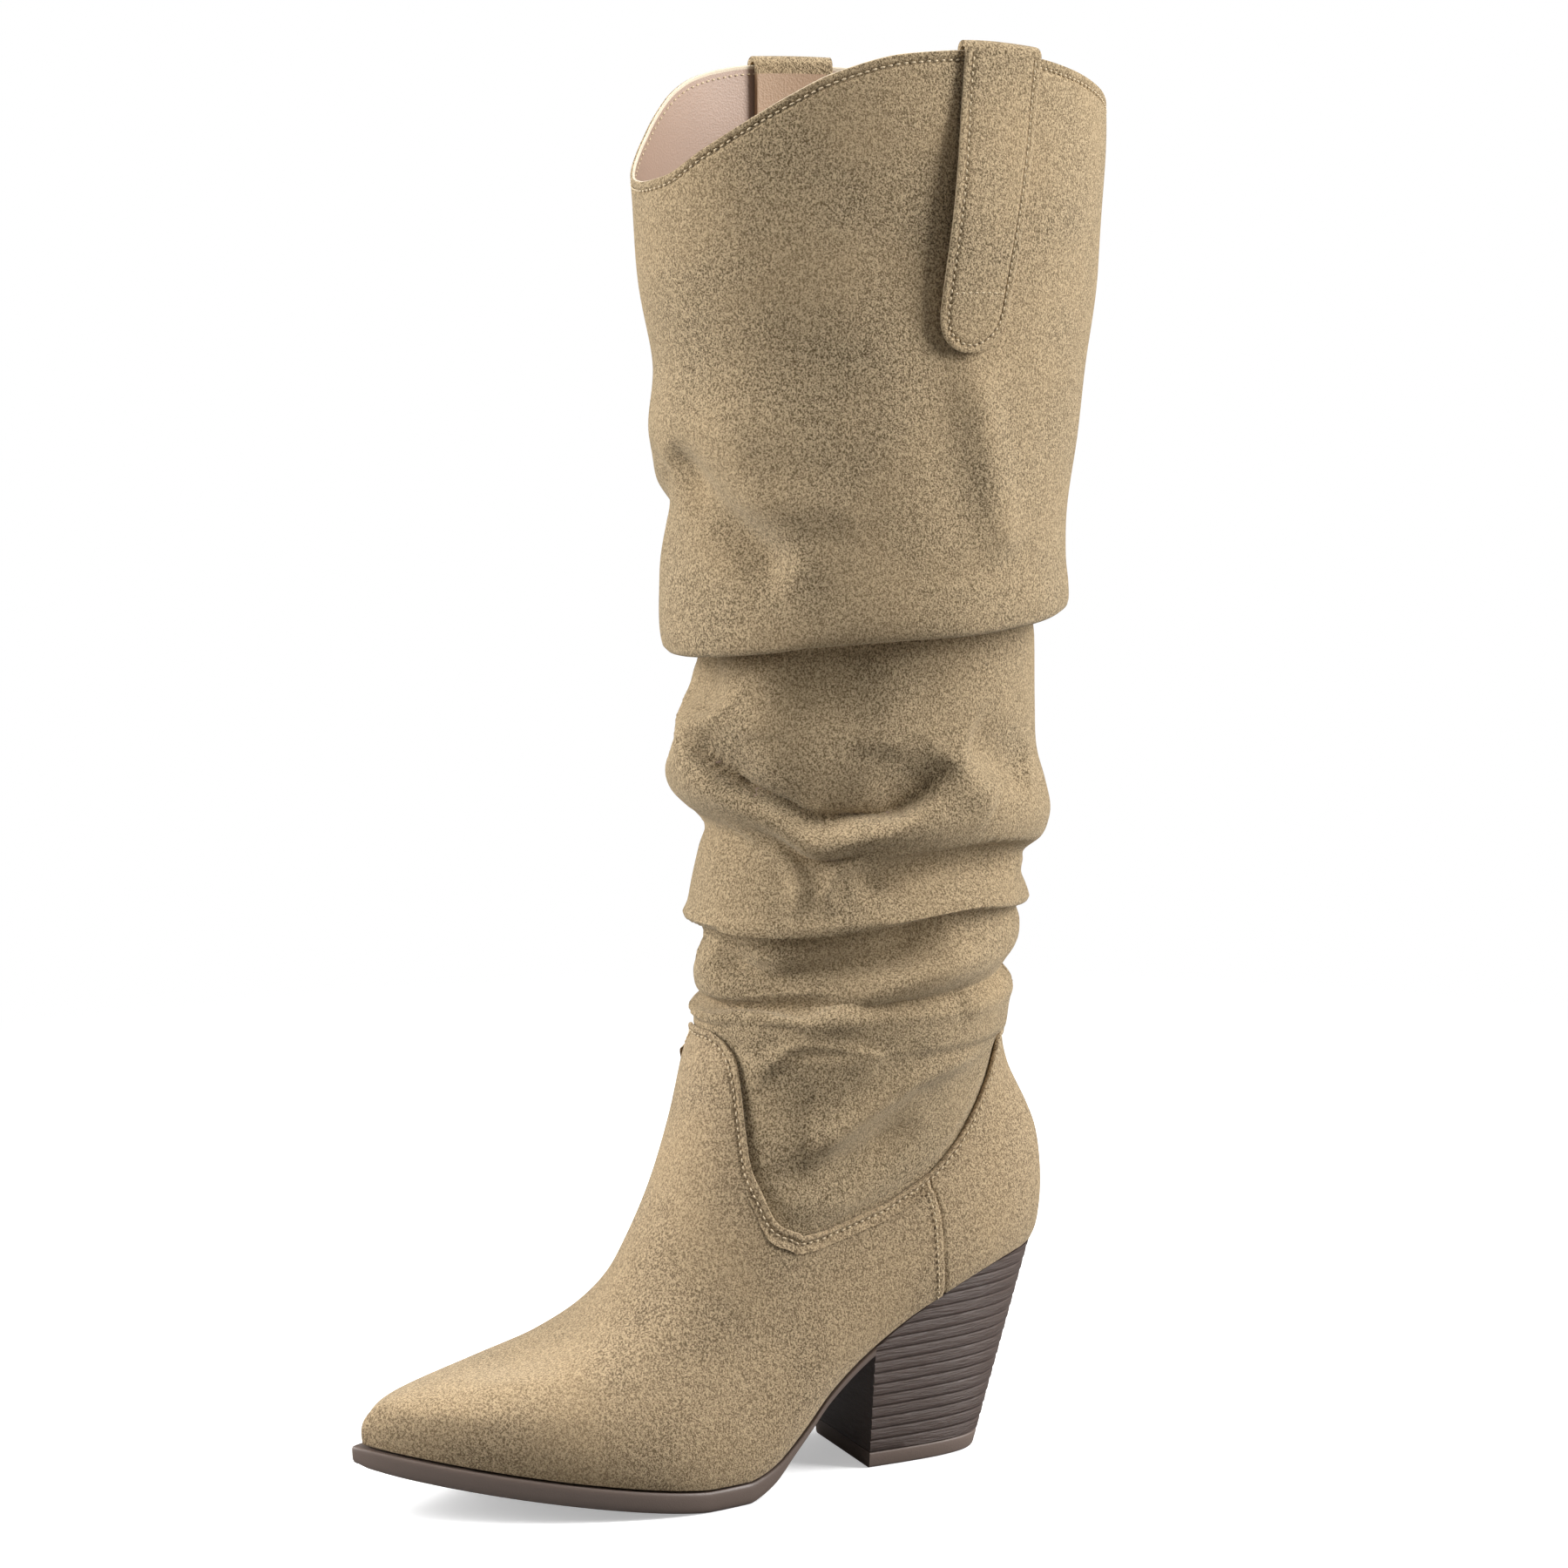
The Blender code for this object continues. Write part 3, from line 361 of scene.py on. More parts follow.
def full_rows(angle, rows):
    """The same row places at every angle."""
    return np.repeat(np.asarray(rows, float)[:, None], len(angle), 1)


def curve_through(points, at):
    """Smooth curve through a short table of places and values, without overshoot."""
    table = np.array(points, float)
    x, y = table[:, 0], table[:, 1]
    step = np.diff(x)
    slope = np.diff(y) / step
    tangent = np.zeros(len(x))
    same_way = slope[:-1] * slope[1:] > 0
    tangent[1:-1][same_way] = 2.0 / (1.0 / slope[:-1][same_way] + 1.0 / slope[1:][same_way])
    tangent[0], tangent[-1] = slope[0], slope[-1]
    at = np.clip(at, x[0], x[-1])
    i = np.clip(np.searchsorted(x, at, side="right") - 1, 0, len(x) - 2)
    h = step[i]
    t = (at - x[i]) / h
    return ((2 * t**3 - 3 * t**2 + 1) * y[i] + (t**3 - 2 * t**2 + t) * h * tangent[i]
            + (3 * t**2 - 2 * t**3) * y[i + 1] + (t**3 - t**2) * h * tangent[i + 1])


def place_on_foot(x):
    return (np.asarray(x, float) - HEEL_BACK_X) / FOOT_LENGTH


def sole_line(x):
    """Height of the upper's lower edge at a place along the foot."""
    place = place_on_foot(x)
    rise = (HEEL_HEIGHT - OUTSOLE_THICKNESS) * curve_through(SOLE_LINE, place)
    flat_end = SOLE_LINE[-1][0]
    toe = np.clip((place - flat_end) / (1.0 - flat_end), 0.0, 1.2)
    return OUTSOLE_THICKNESS + SEAT_GAP + rise + TOE_SPRING * toe ** TOE_CURVE


def centre_line(x):
    """Sideways lean of the foot's middle: the toe points a little to the inner side."""
    ball = FOOT_ROWS[0].wide
    t = np.clip((place_on_foot(x) - ball) / (1.0 - ball), 0.0, 1.1)
    return -TOE_INFLARE * t**2


def signed_power(value, exponent):
    return np.sign(value) * np.abs(value) ** exponent


def waist_pull(x, waist, outer_side):
    """Share of the half width that the arch takes away."""
    arch = bell(place_on_foot(x) - ARCH_PLACE, ARCH_LENGTH)
    return arch * waist * np.where(outer_side, ARCH_OUTER_SIDE, ARCH_INNER_SIDE)


def foot_ring(row, angle):
    c, s = np.cos(angle), np.sin(angle)
    ahead = c > 0
    x_front, x_back, x_wide = (HEEL_BACK_X + share * FOOT_LENGTH for share in (row.front, row.back, row.wide))
    round_x, round_y = (seat + (2.0 - seat) * row.low for seat in (SEAT_ROUND_X, SEAT_ROUND_Y))
    x = np.where(ahead, x_wide + (x_front - x_wide) * np.abs(c) ** (2.0 / row.round_x),
                 x_wide - (x_wide - x_back) * np.abs(c) ** (2.0 / round_x))
    half = np.where(s > 0, row.outer, row.inner) * BALL_WIDTH
    y = half * signed_power(s, np.where(ahead, 2.0 / row.round_y, 2.0 / round_y))
    y = y * (1.0 - waist_pull(x, row.waist, s > 0)) + centre_line(x)
    base = sole_line(x) * (1.0 - row.low) + (ANKLE_Z - ANKLE_RISE) * row.low
    end_z = np.where(ahead, row.front_z, row.back_z)
    return np.stack([x, y, base + (row.side_z + (end_z - row.side_z) * c**2) * ANKLE_RISE], -1)


def leg_ring(row, angle):
    c, s = np.cos(angle), np.sin(angle)
    ahead = c > 0
    x = LEG_AXIS_X + np.where(ahead, row.front, row.back) * SHAFT_DEPTH * c
    y = np.where(s > 0, row.outer, row.inner) * SHAFT_WIDTH * s
    end_z = np.where(ahead, row.front_z, row.back_z)
    rise = row.side_z + (end_z - row.side_z) * c**2
    return np.stack([x, y, ANKLE_Z + rise * LEG_HEIGHT], -1)


def seam_row(angle):
    """Row place of the seam, the same on both sides."""
    turn = np.degrees(angle) % 360.0
    return curve_through(SEAM, np.minimum(turn, 360.0 - turn))


def all_rows(angle):
    """Every row of the upper and the leg at the given angles: rows, columns, xyz."""
    rings = [foot_ring(row, angle) for row in FOOT_ROWS]
    rings += [leg_ring(row, angle) for row in LEG_ROWS]
    collar = leg_ring(COLLAR_ROW, angle)
    collar[:, 2] = ANKLE_Z + curve_through(COLLAR, np.degrees(angle) % 360.0) * LEG_HEIGHT
    return np.stack(rings + [collar])


def on_surface(rows, place):
    """Points at row places, by a curve through the rows of each column."""
    place = np.clip(place, 0.0, len(rows) - 1.0)
    i = np.clip(np.floor(place).astype(int), 0, len(rows) - 2)
    t = (place - i)[..., None]
    column = np.arange(rows.shape[1])[None, :] + 0 * i
    a, b = rows[np.maximum(i - 1, 0), column], rows[i, column]
    c, d = rows[i + 1, column], rows[np.minimum(i + 2, len(rows) - 1), column]
    return through_four(a, b, c, d, t)


def unit(vectors):
    return vectors / np.maximum(np.linalg.norm(vectors, axis=-1, keepdims=True), 1e-12)


def outward(points):
    """Outward directions of a closed grid of rows going up and columns going round."""
    up = np.gradient(points, axis=0)
    around = np.roll(points, -1, 1) - np.roll(points, 1, 1)
    return unit(np.cross(around, up))


def seam_scale(rows, angle):
    """Seam's row at each column, and rows in a metre measured square to the seam."""
    seam = seam_row(angle)[None, :]
    step = 0.05
    edge = on_surface(rows, seam)[0]
    per_row = np.linalg.norm(on_surface(rows, seam + step)[0] - edge, axis=-1) / step
    along = np.linalg.norm(np.roll(edge, -1, 0) - np.roll(edge, 1, 0), axis=-1)
    rise = (np.roll(seam[0], -1) - np.roll(seam[0], 1)) * per_row
    across = np.sqrt(np.maximum(along**2 - rise**2, (0.2 * along) ** 2))
    return seam[0], along / across / per_row


def seam_gaps(angle, step):
    """The seam's rows all round, each column's distance along the row to them, and its size of a row."""
    fine = np.radians(np.arange(0.0, 360.0, step))
    rows = all_rows(fine)
    seam = seam_row(fine)
    part = 0.05
    level = on_surface(rows, seam[None, :])[0]
    per_row = np.linalg.norm(level - on_surface(rows, seam[None, :] - part)[0], axis=-1) / part
    across = np.linalg.norm(on_surface(rows, np.roll(seam, 1)[None, :])[0] - np.roll(level, 1, 0), axis=-1)
    girth = across.sum()
    run = np.cumsum(across) - across[0]
    here = np.interp(angle, fine, run)
    gap = (here[None, :] - run[:, None] + girth / 2) % girth - girth / 2
    return seam, gap, np.interp(angle, fine, per_row)


def below_seam(angle, distances):
    """Places on the foot part at these distances below the seam, measured square to it."""
    seam, gap, size = seam_gaps(angle, step=0.2)
    places = []
    for distance in distances:
        drop = np.sqrt(np.clip(distance**2 - gap**2, 0.0, None)) / size[None, :]
        reach = np.where(np.abs(gap) <= distance, seam[:, None] - drop, np.inf).min(axis=0)
        places.append(np.minimum(reach, seam_row(angle) - distance / size))
    return places


def smooth_step(value):
    value = np.clip(value, 0.0, 1.0)
    return value * value * (3.0 - 2.0 * value)


def side_of(course, mirrored):
    """A crease's course on the outer side, or its turned repeat on the inner side."""
    table = np.array(course, float)
    if mirrored:
        table[:, 0] = -table[:, 0] - INNER_TURN * np.sin(np.radians(table[:, 0]))
        table[:, 1] += INNER_SHIFT
    return table


def course_samples(table, count=48):
    """Points along a crease: smooth through its table, evenly spread."""
    t = np.linspace(0.0, len(table) - 1.0, count)
    i = np.clip(np.floor(t).astype(int), 0, len(table) - 2)
    f = (t - i)[:, None]
    last = len(table) - 1
    a, b, c, d = (table[np.clip(i + k, 0, last)] for k in (-1, 0, 1, 2))
    return through_four(a, b, c, d, f)


def lifted(points, angle, places):
    """Moves fold edges up or down where they leave their row, on both sides of the leg."""
    turn = from_front(np.degrees(angle))[None, :]
    shift = np.zeros(places.shape)
    for lift in LIFTS:
        shift += lift.rise * MM * np.exp(-((turn - lift.angle) / lift.angle_reach) ** 2
                                         - ((places - lift.row) / lift.row_reach) ** 2)
    points = points.copy()
    points[..., 2] += shift
    return points


def crease_depths(points, normals, angle, places):
    """Outward shift of every point of the leg from all its creases."""
    depth = np.zeros(places.shape)
    turn = np.degrees(angle)
    for mirrored in (False, True):
        for crease in CREASES:
            course = course_samples(side_of(crease.course, mirrored))
            around = np.radians(course[:, 0])
            line = on_surface(all_rows(around), course[:, 1][None, :])
            line = lifted(line, around, course[:, 1][None, :])[0]
            tangent = unit(np.gradient(line, axis=0))
            reach = CREASE_WIDTHS * max(crease.above, crease.below) * MM
            middle = turn - course[:, 0].mean()
            near_column = from_front(middle) < np.ptp(course[:, 0]) / 2 + CREASE_DEGREES
            columns = np.nonzero(near_column)[0]
            low, high = course[:, 1].min() - CREASE_ROWS, course[:, 1].max() + CREASE_ROWS
            near_row = ((places > low) & (places < high)).any(axis=1)
            rows = np.nonzero(near_row)[0]
            if not len(rows):
                continue
            block = np.ix_(rows, columns)
            here, out, row = points[block], normals[block], places[block]
            best = np.full(row.shape, np.inf)
            side = np.zeros(row.shape)
            taper = np.zeros(row.shape)
            for k, (spot, way) in enumerate(zip(line, tangent)):
                away = here - spot
                distance = (away ** 2).sum(-1)
                distance = np.where(np.abs(row - course[k, 1]) < CREASE_ROWS, distance, np.inf)
                closer = distance < best
                best = np.where(closer, distance, best)
                above = (np.cross(out, way) * away).sum(-1)
                side = np.where(closer, above, side)
                t = k / (len(line) - 1.0)
                fade = smooth_step(min(t, 1.0 - t) / CREASE_END + CREASE_END_DEPTH)
                taper = np.where(closer, fade, taper)
            distance = np.sqrt(best)
            if mirrored:
                side = -side
            width = np.where(side > 0, crease.above, crease.below) * MM
            shape = np.exp(-(distance / width) ** crease.power) * taper * (distance < reach)
            strength = INNER_STRENGTH if mirrored else 1.0
            depth[block] += crease.depth * MM * strength * np.where(np.isfinite(shape), shape, 0.0)
    return depth


def soft_dents(points, size, height, seed):
    """Slow unevenness of hand-worked leather."""
    flat = points.reshape(-1, 3) / size + seed
    values = np.array([noise.noise(Vector(p)) for p in flat])
    return height * values.reshape(points.shape[:-1])


def deselect():
    if bpy.context.object and bpy.context.object.mode != "OBJECT":
        bpy.ops.object.mode_set(mode="OBJECT")
    bpy.ops.object.select_all(action="DESELECT")


def merge(distance=1e-6):
    """Joins the active object's vertices that lie on each other, in edit mode as by hand."""
    bpy.ops.object.mode_set(mode="EDIT")
    bpy.ops.mesh.select_all(action="SELECT")
    bpy.ops.mesh.remove_doubles(threshold=distance)
    bpy.ops.mesh.dissolve_degenerate(threshold=distance)
    bpy.ops.mesh.select_all(action="DESELECT")
    bpy.ops.object.mode_set(mode="OBJECT")


def sheet(name, points, angle=60.0):
    """A grid primitive laid on a grid of points; edges that meet are joined."""
    rows, columns = points.shape[:2]
    deselect()
    bpy.ops.mesh.primitive_grid_add(x_subdivisions=columns - 1, y_subdivisions=rows - 1, size=1.0)
    obj = bpy.context.object
    obj.name = obj.data.name = name
    obj.data.vertices.foreach_set("co", np.ascontiguousarray(points, dtype=np.float32).ravel())
    obj.data.update()
    merge()
    bpy.ops.object.shade_smooth_by_angle(angle=math.radians(angle))
    return obj


def closed(points):
    """Repeats the first column at the end, so that the sheet goes all the way round."""
    return np.concatenate([points, points[:, :1]], axis=1)


def apply_modifier(obj, kind, **values):
    deselect()
    obj.select_set(True)
    bpy.context.view_layer.objects.active = obj
    modifier = obj.modifiers.new(kind.lower(), kind)
    for key, value in values.items():
        setattr(modifier, key, value)
    bpy.ops.object.modifier_apply(modifier=modifier.name)


def place_piece(obj, slot, *nodes):
    """Rides on the boot and stands for the CAD nodes that it replaces; the slot it is given is not used."""
    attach(obj, "root")
    if nodes:
        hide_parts(*nodes)
    return obj


def paint(obj, *materials):
    obj.data.materials.clear()
    for mat in materials:
        obj.data.materials.append(mat)


def make_piece(name, points, slot, material, *nodes, angle=60.0):
    """A sheet in its material, placed on the boot."""
    obj = sheet(name, points, angle)
    paint(obj, bpy.data.materials[material])
    return place_piece(obj, slot, *nodes)


def values_at(at, run, points):
    return np.stack([np.interp(at, run, points[:, k]) for k in range(3)], -1)


def stitches(name, points, normals, rise, trim, spread=1.0, share=0.66, slot="suede"):
    """A row of stitches above a line on a surface: one is modelled, the others are its copies.

    Spread and share are the pitch and the length of a stitch, as shares of the trim's pitch.
    """
    points, normals = points + normals * rise, np.asarray(normals)
    pitch, length, thickness = trim.pitch * spread, trim.pitch * share, trim.stitch
    run = run_along(points)
    count = max(int(run[-1] / pitch), 1)
    at = (np.arange(count) + 0.5) * run[-1] / count
    where = values_at(at, run, points)
    out = unit(values_at(at, run, normals))
    way = unit(values_at(at + pitch / 4, run, points) - values_at(at - pitch / 4, run, points))
    across = unit(np.cross(out, way))
    deselect()
    bpy.ops.mesh.primitive_uv_sphere_add(segments=6, ring_count=5, radius=1.0)
    one = bpy.context.object
    shape = np.array([v.co[:] for v in one.data.vertices])[:, [2, 0, 1]]
    faces = [tuple(p.vertices) for p in one.data.polygons]
    bpy.data.objects.remove(one, do_unlink=True)
    flat, arch, sunk = 0.45, 0.45 * (1.0 - shape[:, 0] ** 2), 0.25
    local = shape * np.array([length / 2, thickness / 2, thickness * flat])
    local[:, 2] += thickness * (arch - sunk)
    corners, loops = [], []
    for k in range(count):
        corners.append(where[k] + local[:, :1] * way[k] + local[:, 1:2] * across[k] + local[:, 2:] * out[k])
        loops += [tuple(i + k * len(shape) for i in face) for face in faces]
    mesh = bpy.data.meshes.new(name)
    mesh.from_pydata(np.concatenate(corners).tolist(), [], loops)
    obj = bpy.data.objects.new(name, mesh)
    bpy.context.collection.objects.link(obj)
    mesh.shade_smooth()
    paint(obj, bpy.data.materials["thread"])
    return place_piece(obj, slot)


def node(tree, kind, place=(0, 0), **values):
    """Adds a shader node; each value goes to the input of that name, or else to the node itself."""
    item = tree.nodes.new(kind)
    item.location = place
    for key, value in values.items():
        entry = item.inputs.get(key.replace("_", " "))
        if entry is not None:
            entry.default_value = value
        else:
            setattr(item, key, value)
    return item


def wire(tree, *links):
    """Links shader nodes: a node and its output, then a node and its input."""
    for source, output, goal, entry in links:
        tree.links.new(source.outputs[output], goal.inputs[entry])


def nap_group():
    """Napped suede: a fibre value, a slow patch value and a height, from object coordinates."""
    group = bpy.data.node_groups.new("suede nap", "ShaderNodeTree")
    for name, way in (("Grain", "INPUT"), ("Patch", "INPUT"), ("Fibre", "OUTPUT"), ("Brushing", "OUTPUT"),
                      ("Height", "OUTPUT")):
        group.interface.new_socket(name, in_out=way, socket_type="NodeSocketFloat")
    start = node(group, "NodeGroupInput", (-1000, 0))
    end = node(group, "NodeGroupOutput", (600, 0))
    where = node(group, "ShaderNodeTexCoord", (-1000, -300))
    turn = node(group, "ShaderNodeMapping", (-800, -300), Rotation=(0.35, 0.5, 0.2), Scale=(1.0, 1.0, 0.72))
    other = node(group, "ShaderNodeMapping", (-800, -700), Rotation=(1.15, -0.4, 0.85))
    finer = node(group, "ShaderNodeMath", (-700, -60), operation="MULTIPLY")
    finer.inputs[1].default_value = 1.18
    tufts = node(group, "ShaderNodeTexNoise", (-500, 200), Detail=3.0, Roughness=0.62, Distortion=0.7)
    hairs = node(group, "ShaderNodeTexNoise", (-500, -60), Detail=3.0, Roughness=0.6, Distortion=0.6)
    patches = node(group, "ShaderNodeTexNoise", (-500, -360), Detail=3.0, Roughness=0.55, Distortion=0.4)
    mixed = node(group, "ShaderNodeMix", (-250, 100), data_type="FLOAT", Factor=0.5)
    spread = node(group, "ShaderNodeMapRange", (-20, 100), From_Min=0.44, From_Max=0.56)
    wire(group, (where, "Object", turn, "Vector"), (turn, "Vector", tufts, "Vector"),
         (start, "Grain", tufts, "Scale"), (where, "Object", other, "Vector"), (start, "Grain", finer, 0),
         (other, "Vector", hairs, "Vector"), (finer, 0, hairs, "Scale"), (tufts, "Fac", mixed, 2),
         (hairs, "Fac", mixed, 3), (mixed, 0, spread, "Value"), (where, "Object", patches, "Vector"),
         (start, "Patch", patches, "Scale"), (spread, "Result", end, "Fibre"),
         (patches, "Fac", end, "Brushing"), (mixed, 0, end, "Height"))
    return group


def new_material(name, **shader_values):
    mat = bpy.data.materials.new(name)
    mat.use_nodes = True
    shader = mat.node_tree.nodes["Principled BSDF"]
    for key, value in shader_values.items():
        shader.inputs[key.replace("_", " ")].default_value = value
    return mat.node_tree, shader


def tinted(colour, shares):
    return [c * k for c, k in zip(colour, shares)]


def tone_mix(tree, place, low, high):
    """Mixes two colours by the value that is linked to its first input."""
    tone = node(tree, "ShaderNodeMix", place, data_type="RGBA")
    tone.inputs[6].default_value = (*low, 1.0)
    tone.inputs[7].default_value = (*high, 1.0)
    return tone


def finish_surface(tree, shader, tone, height, output, bump, depth):
    """Gives the shader its colour, and a relief from a height."""
    relief = node(tree, "ShaderNodeBump", (-200, -200), Strength=bump, Distance=depth)
    wire(tree, (tone, 2, shader, "Base Color"), (height, output, relief, "Height"),
         (relief, "Normal", shader, "Normal"))


def suede_material(name, light, dark, grain, warm, bump):
    tree, shader = new_material(name, Roughness=0.92, Sheen_Weight=0.4, Sheen_Roughness=0.35,
                                Sheen_Tint=(1.0, 0.88, 0.68, 1.0), Specular_IOR_Level=0.12)
    nap = node(tree, "ShaderNodeGroup", (-700, 100), node_tree=bpy.data.node_groups["suede nap"])
    nap.inputs["Grain"].default_value = grain
    nap.inputs["Patch"].default_value = 26.0
    tone = tone_mix(tree, (-450, 200), dark, light)
    patch = node(tree, "ShaderNodeMapRange", (-450, -60), From_Min=0.3, From_Max=0.7, To_Max=0.35)
    brushed = tone_mix(tree, (-200, 200), light, warm)
    wire(tree, (nap, "Fibre", tone, 0), (nap, "Brushing", patch, "Value"), (tone, 2, brushed, 6),
         (patch, "Result", brushed, 0))
    finish_surface(tree, shader, brushed, nap, "Height", bump, 0.0010)


def leather_material(name, colour, roughness, scale, bump, shade=0.82):
    """Smooth leather, rubber or board: a soft tone variation and a fine grain."""
    tree, shader = new_material(name, Roughness=roughness)
    where = node(tree, "ShaderNodeTexCoord", (-900, 0))
    cloud = node(tree, "ShaderNodeTexNoise", (-700, 150), Scale=35.0, Detail=3.0)
    tone = tone_mix(tree, (-350, 150), [c * shade for c in colour], colour)
    grain = node(tree, "ShaderNodeTexVoronoi", (-700, -150), Scale=scale)
    wire(tree, (where, "Object", cloud, "Vector"), (cloud, "Fac", tone, 0),
         (where, "Object", grain, "Vector"))
    finish_surface(tree, shader, tone, grain, "Distance", bump, 0.0003)


def bark_material(name, colour, roughness, bump):
    """Stacked heel: horizontal grain like pressed bark, stretched along each layer."""
    tree, shader = new_material(name, Roughness=roughness)
    where = node(tree, "ShaderNodeTexCoord", (-1100, 0))
    stretch = node(tree, "ShaderNodeMapping", (-900, 0), Scale=(120.0, 120.0, 1500.0))
    grain = node(tree, "ShaderNodeTexNoise", (-700, 100), Scale=1.0, Detail=5.0, Roughness=0.6,
                 Distortion=0.6)
    tone = tone_mix(tree, (-350, 150), [c * 0.62 for c in colour], [min(c * 1.3, 1.0) for c in colour])
    wire(tree, (where, "Object", stretch, "Vector"), (stretch, "Vector", grain, "Vector"),
         (grain, "Fac", tone, 0))
    finish_surface(tree, shader, tone, grain, "Fac", bump, 0.0010)


def floor_material(name):
    """Pale floor that runs out into white away from the boot, and throws less light back on it."""
    tree, shader = new_material(name, Roughness=0.7, Base_Color=(0.93, 0.93, 0.93, 1.0),
                                Specular_IOR_Level=0.1, Emission_Color=WHITE, Emission_Strength=0.38)
    where = node(tree, "ShaderNodeTexCoord", (-900, 300))
    away = node(tree, "ShaderNodeVectorMath", (-700, 300), operation="LENGTH")
    fade = node(tree, "ShaderNodeMapRange", (-500, 300), interpolation_type="SMOOTHSTEP", From_Min=0.35,
                From_Max=0.8)
    white = node(tree, "ShaderNodeEmission", (-200, 200))
    far = node(tree, "ShaderNodeMixShader", (100, 200))
    dim = node(tree, "ShaderNodeBsdfDiffuse", (-200, -300), Color=(0.24, 0.24, 0.24, 1.0))
    path = node(tree, "ShaderNodeLightPath", (-200, 500))
    both = node(tree, "ShaderNodeMixShader", (300, 0))
    wire(tree, (where, "Object", away, 0), (away, "Value", fade, "Value"), (fade, "Result", far, 0),
         (shader, 0, far, 1), (white, 0, far, 2), (path, "Is Camera Ray", both, 0), (dim, 0, both, 1),
         (far, 0, both, 2), (both, 0, tree.nodes["Material Output"], "Surface"))


def make_materials(scene):
    look, sole = scene.boot_suede, scene.boot_sole
    if "suede nap" not in bpy.data.node_groups:
        nap_group()
    warm = tinted(look.light, (0.92, 0.86, 0.78))
    vamp = tinted(look.light, (0.96, 0.95, 0.95))
    hollow = tinted(look.dark, (1.35, 1.35, 1.5))
    strap = tinted(look.lining, (1.0, 0.93, 0.75))
    suede_material("suede shaft", look.light, look.dark, look.grain, warm, 0.8)
    suede_material("suede vamp", vamp, hollow, look.grain * 0.9, warm, 0.7)
    leather_material("lining leather", look.lining, roughness=0.5, scale=1400.0, bump=0.25)
    leather_material("strap leather", strap, roughness=0.55, scale=1400.0, bump=0.3)
    leather_material("cut edge", look.edge, roughness=0.8, scale=2500.0, bump=0.3)
    leather_material("thread", look.thread, roughness=0.75, scale=6000.0, bump=0.4)
    leather_material("outsole rubber", sole.rubber, roughness=0.42, scale=2200.0, bump=0.12, shade=0.86)
    bark_material("heel stack", sole.stack, roughness=0.5, bump=0.7)
    leather_material("top piece rubber", [c * 1.15 for c in sole.rubber], roughness=0.5, scale=2200.0,
                     bump=0.2, shade=0.86)


def leg_surface(angle, places):
    """The leg with its folds and creases: points and outward directions."""
    rows = all_rows(angle)
    points = lifted(on_surface(rows, places), angle, places)
    normals = outward(points)
    depth = crease_depths(points, normals, angle, places)
    seam = seam_row(angle)[None, :]
    depth = np.where(depth < 0, depth * smooth_step((places - seam) / 1.2), depth)
    depth += soft_dents(points, 0.035, 0.8 * MM, 3.7) * smooth_step((places - seam) / 3.0)
    points = points + normals * depth[..., None]
    straight_top(points, normals)
    return points, normals


def leg_places(angle, step):
    """Row places of the leg: from under the seam to the collar, about a step apart."""
    rows = all_rows(angle)
    seam, scale = seam_scale(rows, angle)
    near = np.array(LEG_SEAM_ROWS) * MM
    scale = np.minimum(scale, (EVEN_FROM - 1.0 - seam) / near[-1])
    places = [seam + distance * scale for distance in near]
    start = places[-1]
    share = np.linspace(0.0, 1.0, 40)[:, None]
    count = int(run_along(on_surface(rows, start + share * (EVEN_FROM - start)))[-1].max() / step)
    places += [start + (EVEN_FROM - start) * k / count for k in range(1, count)]
    fine = np.linspace(EVEN_FROM, EVEN_TO, 800)
    run = run_along(on_surface(rows, full_rows(angle, fine))).mean(axis=1)
    even = np.interp(np.linspace(0.0, run[-1], int(run[-1] / step)), run, fine)
    places += list(full_rows(angle, even[:-1]))
    fine = np.linspace(EVEN_TO, LAST_ROW, 400)
    run = run_along(on_surface(rows, full_rows(angle, fine)))
    below = np.array(COLLAR_ROWS) * MM
    count = int(run[-1].max() / step)
    for k in range(count + len(below)):
        at = (run[-1] - below[max(k - count, 0)]) * min(k / count, 1.0)
        places.append(np.array([np.interp(at[j], run[:, j], fine) for j in range(len(angle))]))
    return np.stack(places)


def straight_top(points, normals):
    """The last two rows carried straight on from the row 1 mm below the collar's edge."""
    up = unit(points[-3] - points[-4])
    points[-2] = points[-3] + up * 0.5 * MM
    points[-1] = points[-3] + up * MM
    normals[-2:] = normals[-3]


def seam_recess(angle, places):
    """How far the leg lies inside the foot part's edge near the seam."""
    seam, gap, size = seam_gaps(angle, step=1.0)
    own = seam_row(angle)
    recess = np.zeros(places.shape)
    for row, place in enumerate(places):
        if ((place - own) * size).min() > SEAM_RECESS_REACH:
            continue
        away = np.hypot(gap, (place[None, :] - seam[:, None]) * size[None, :]).min(axis=0)
        away = np.where(place < own, 0.0, away)
        recess[row] = SEAM_RECESS * (1.0 - smooth_step(away / SEAM_RECESS_REACH)) ** 1.5
    return recess


def turned_edge(points, normals, thickness, depths):
    """Rows that round the last row over to the inner face and go down inside by the given depths."""
    up = unit(points[-1] - points[-3])
    height = 0.35 * thickness
    rows = [points[-1] + up * (height * np.sin(turn)) - normals[-1] * (thickness / 2 * (1.0 - np.cos(turn)))
            for turn in np.linspace(0.0, np.pi, 8)[1:]]
    return np.stack(rows + [rows[-1] - up * depth for depth in depths])


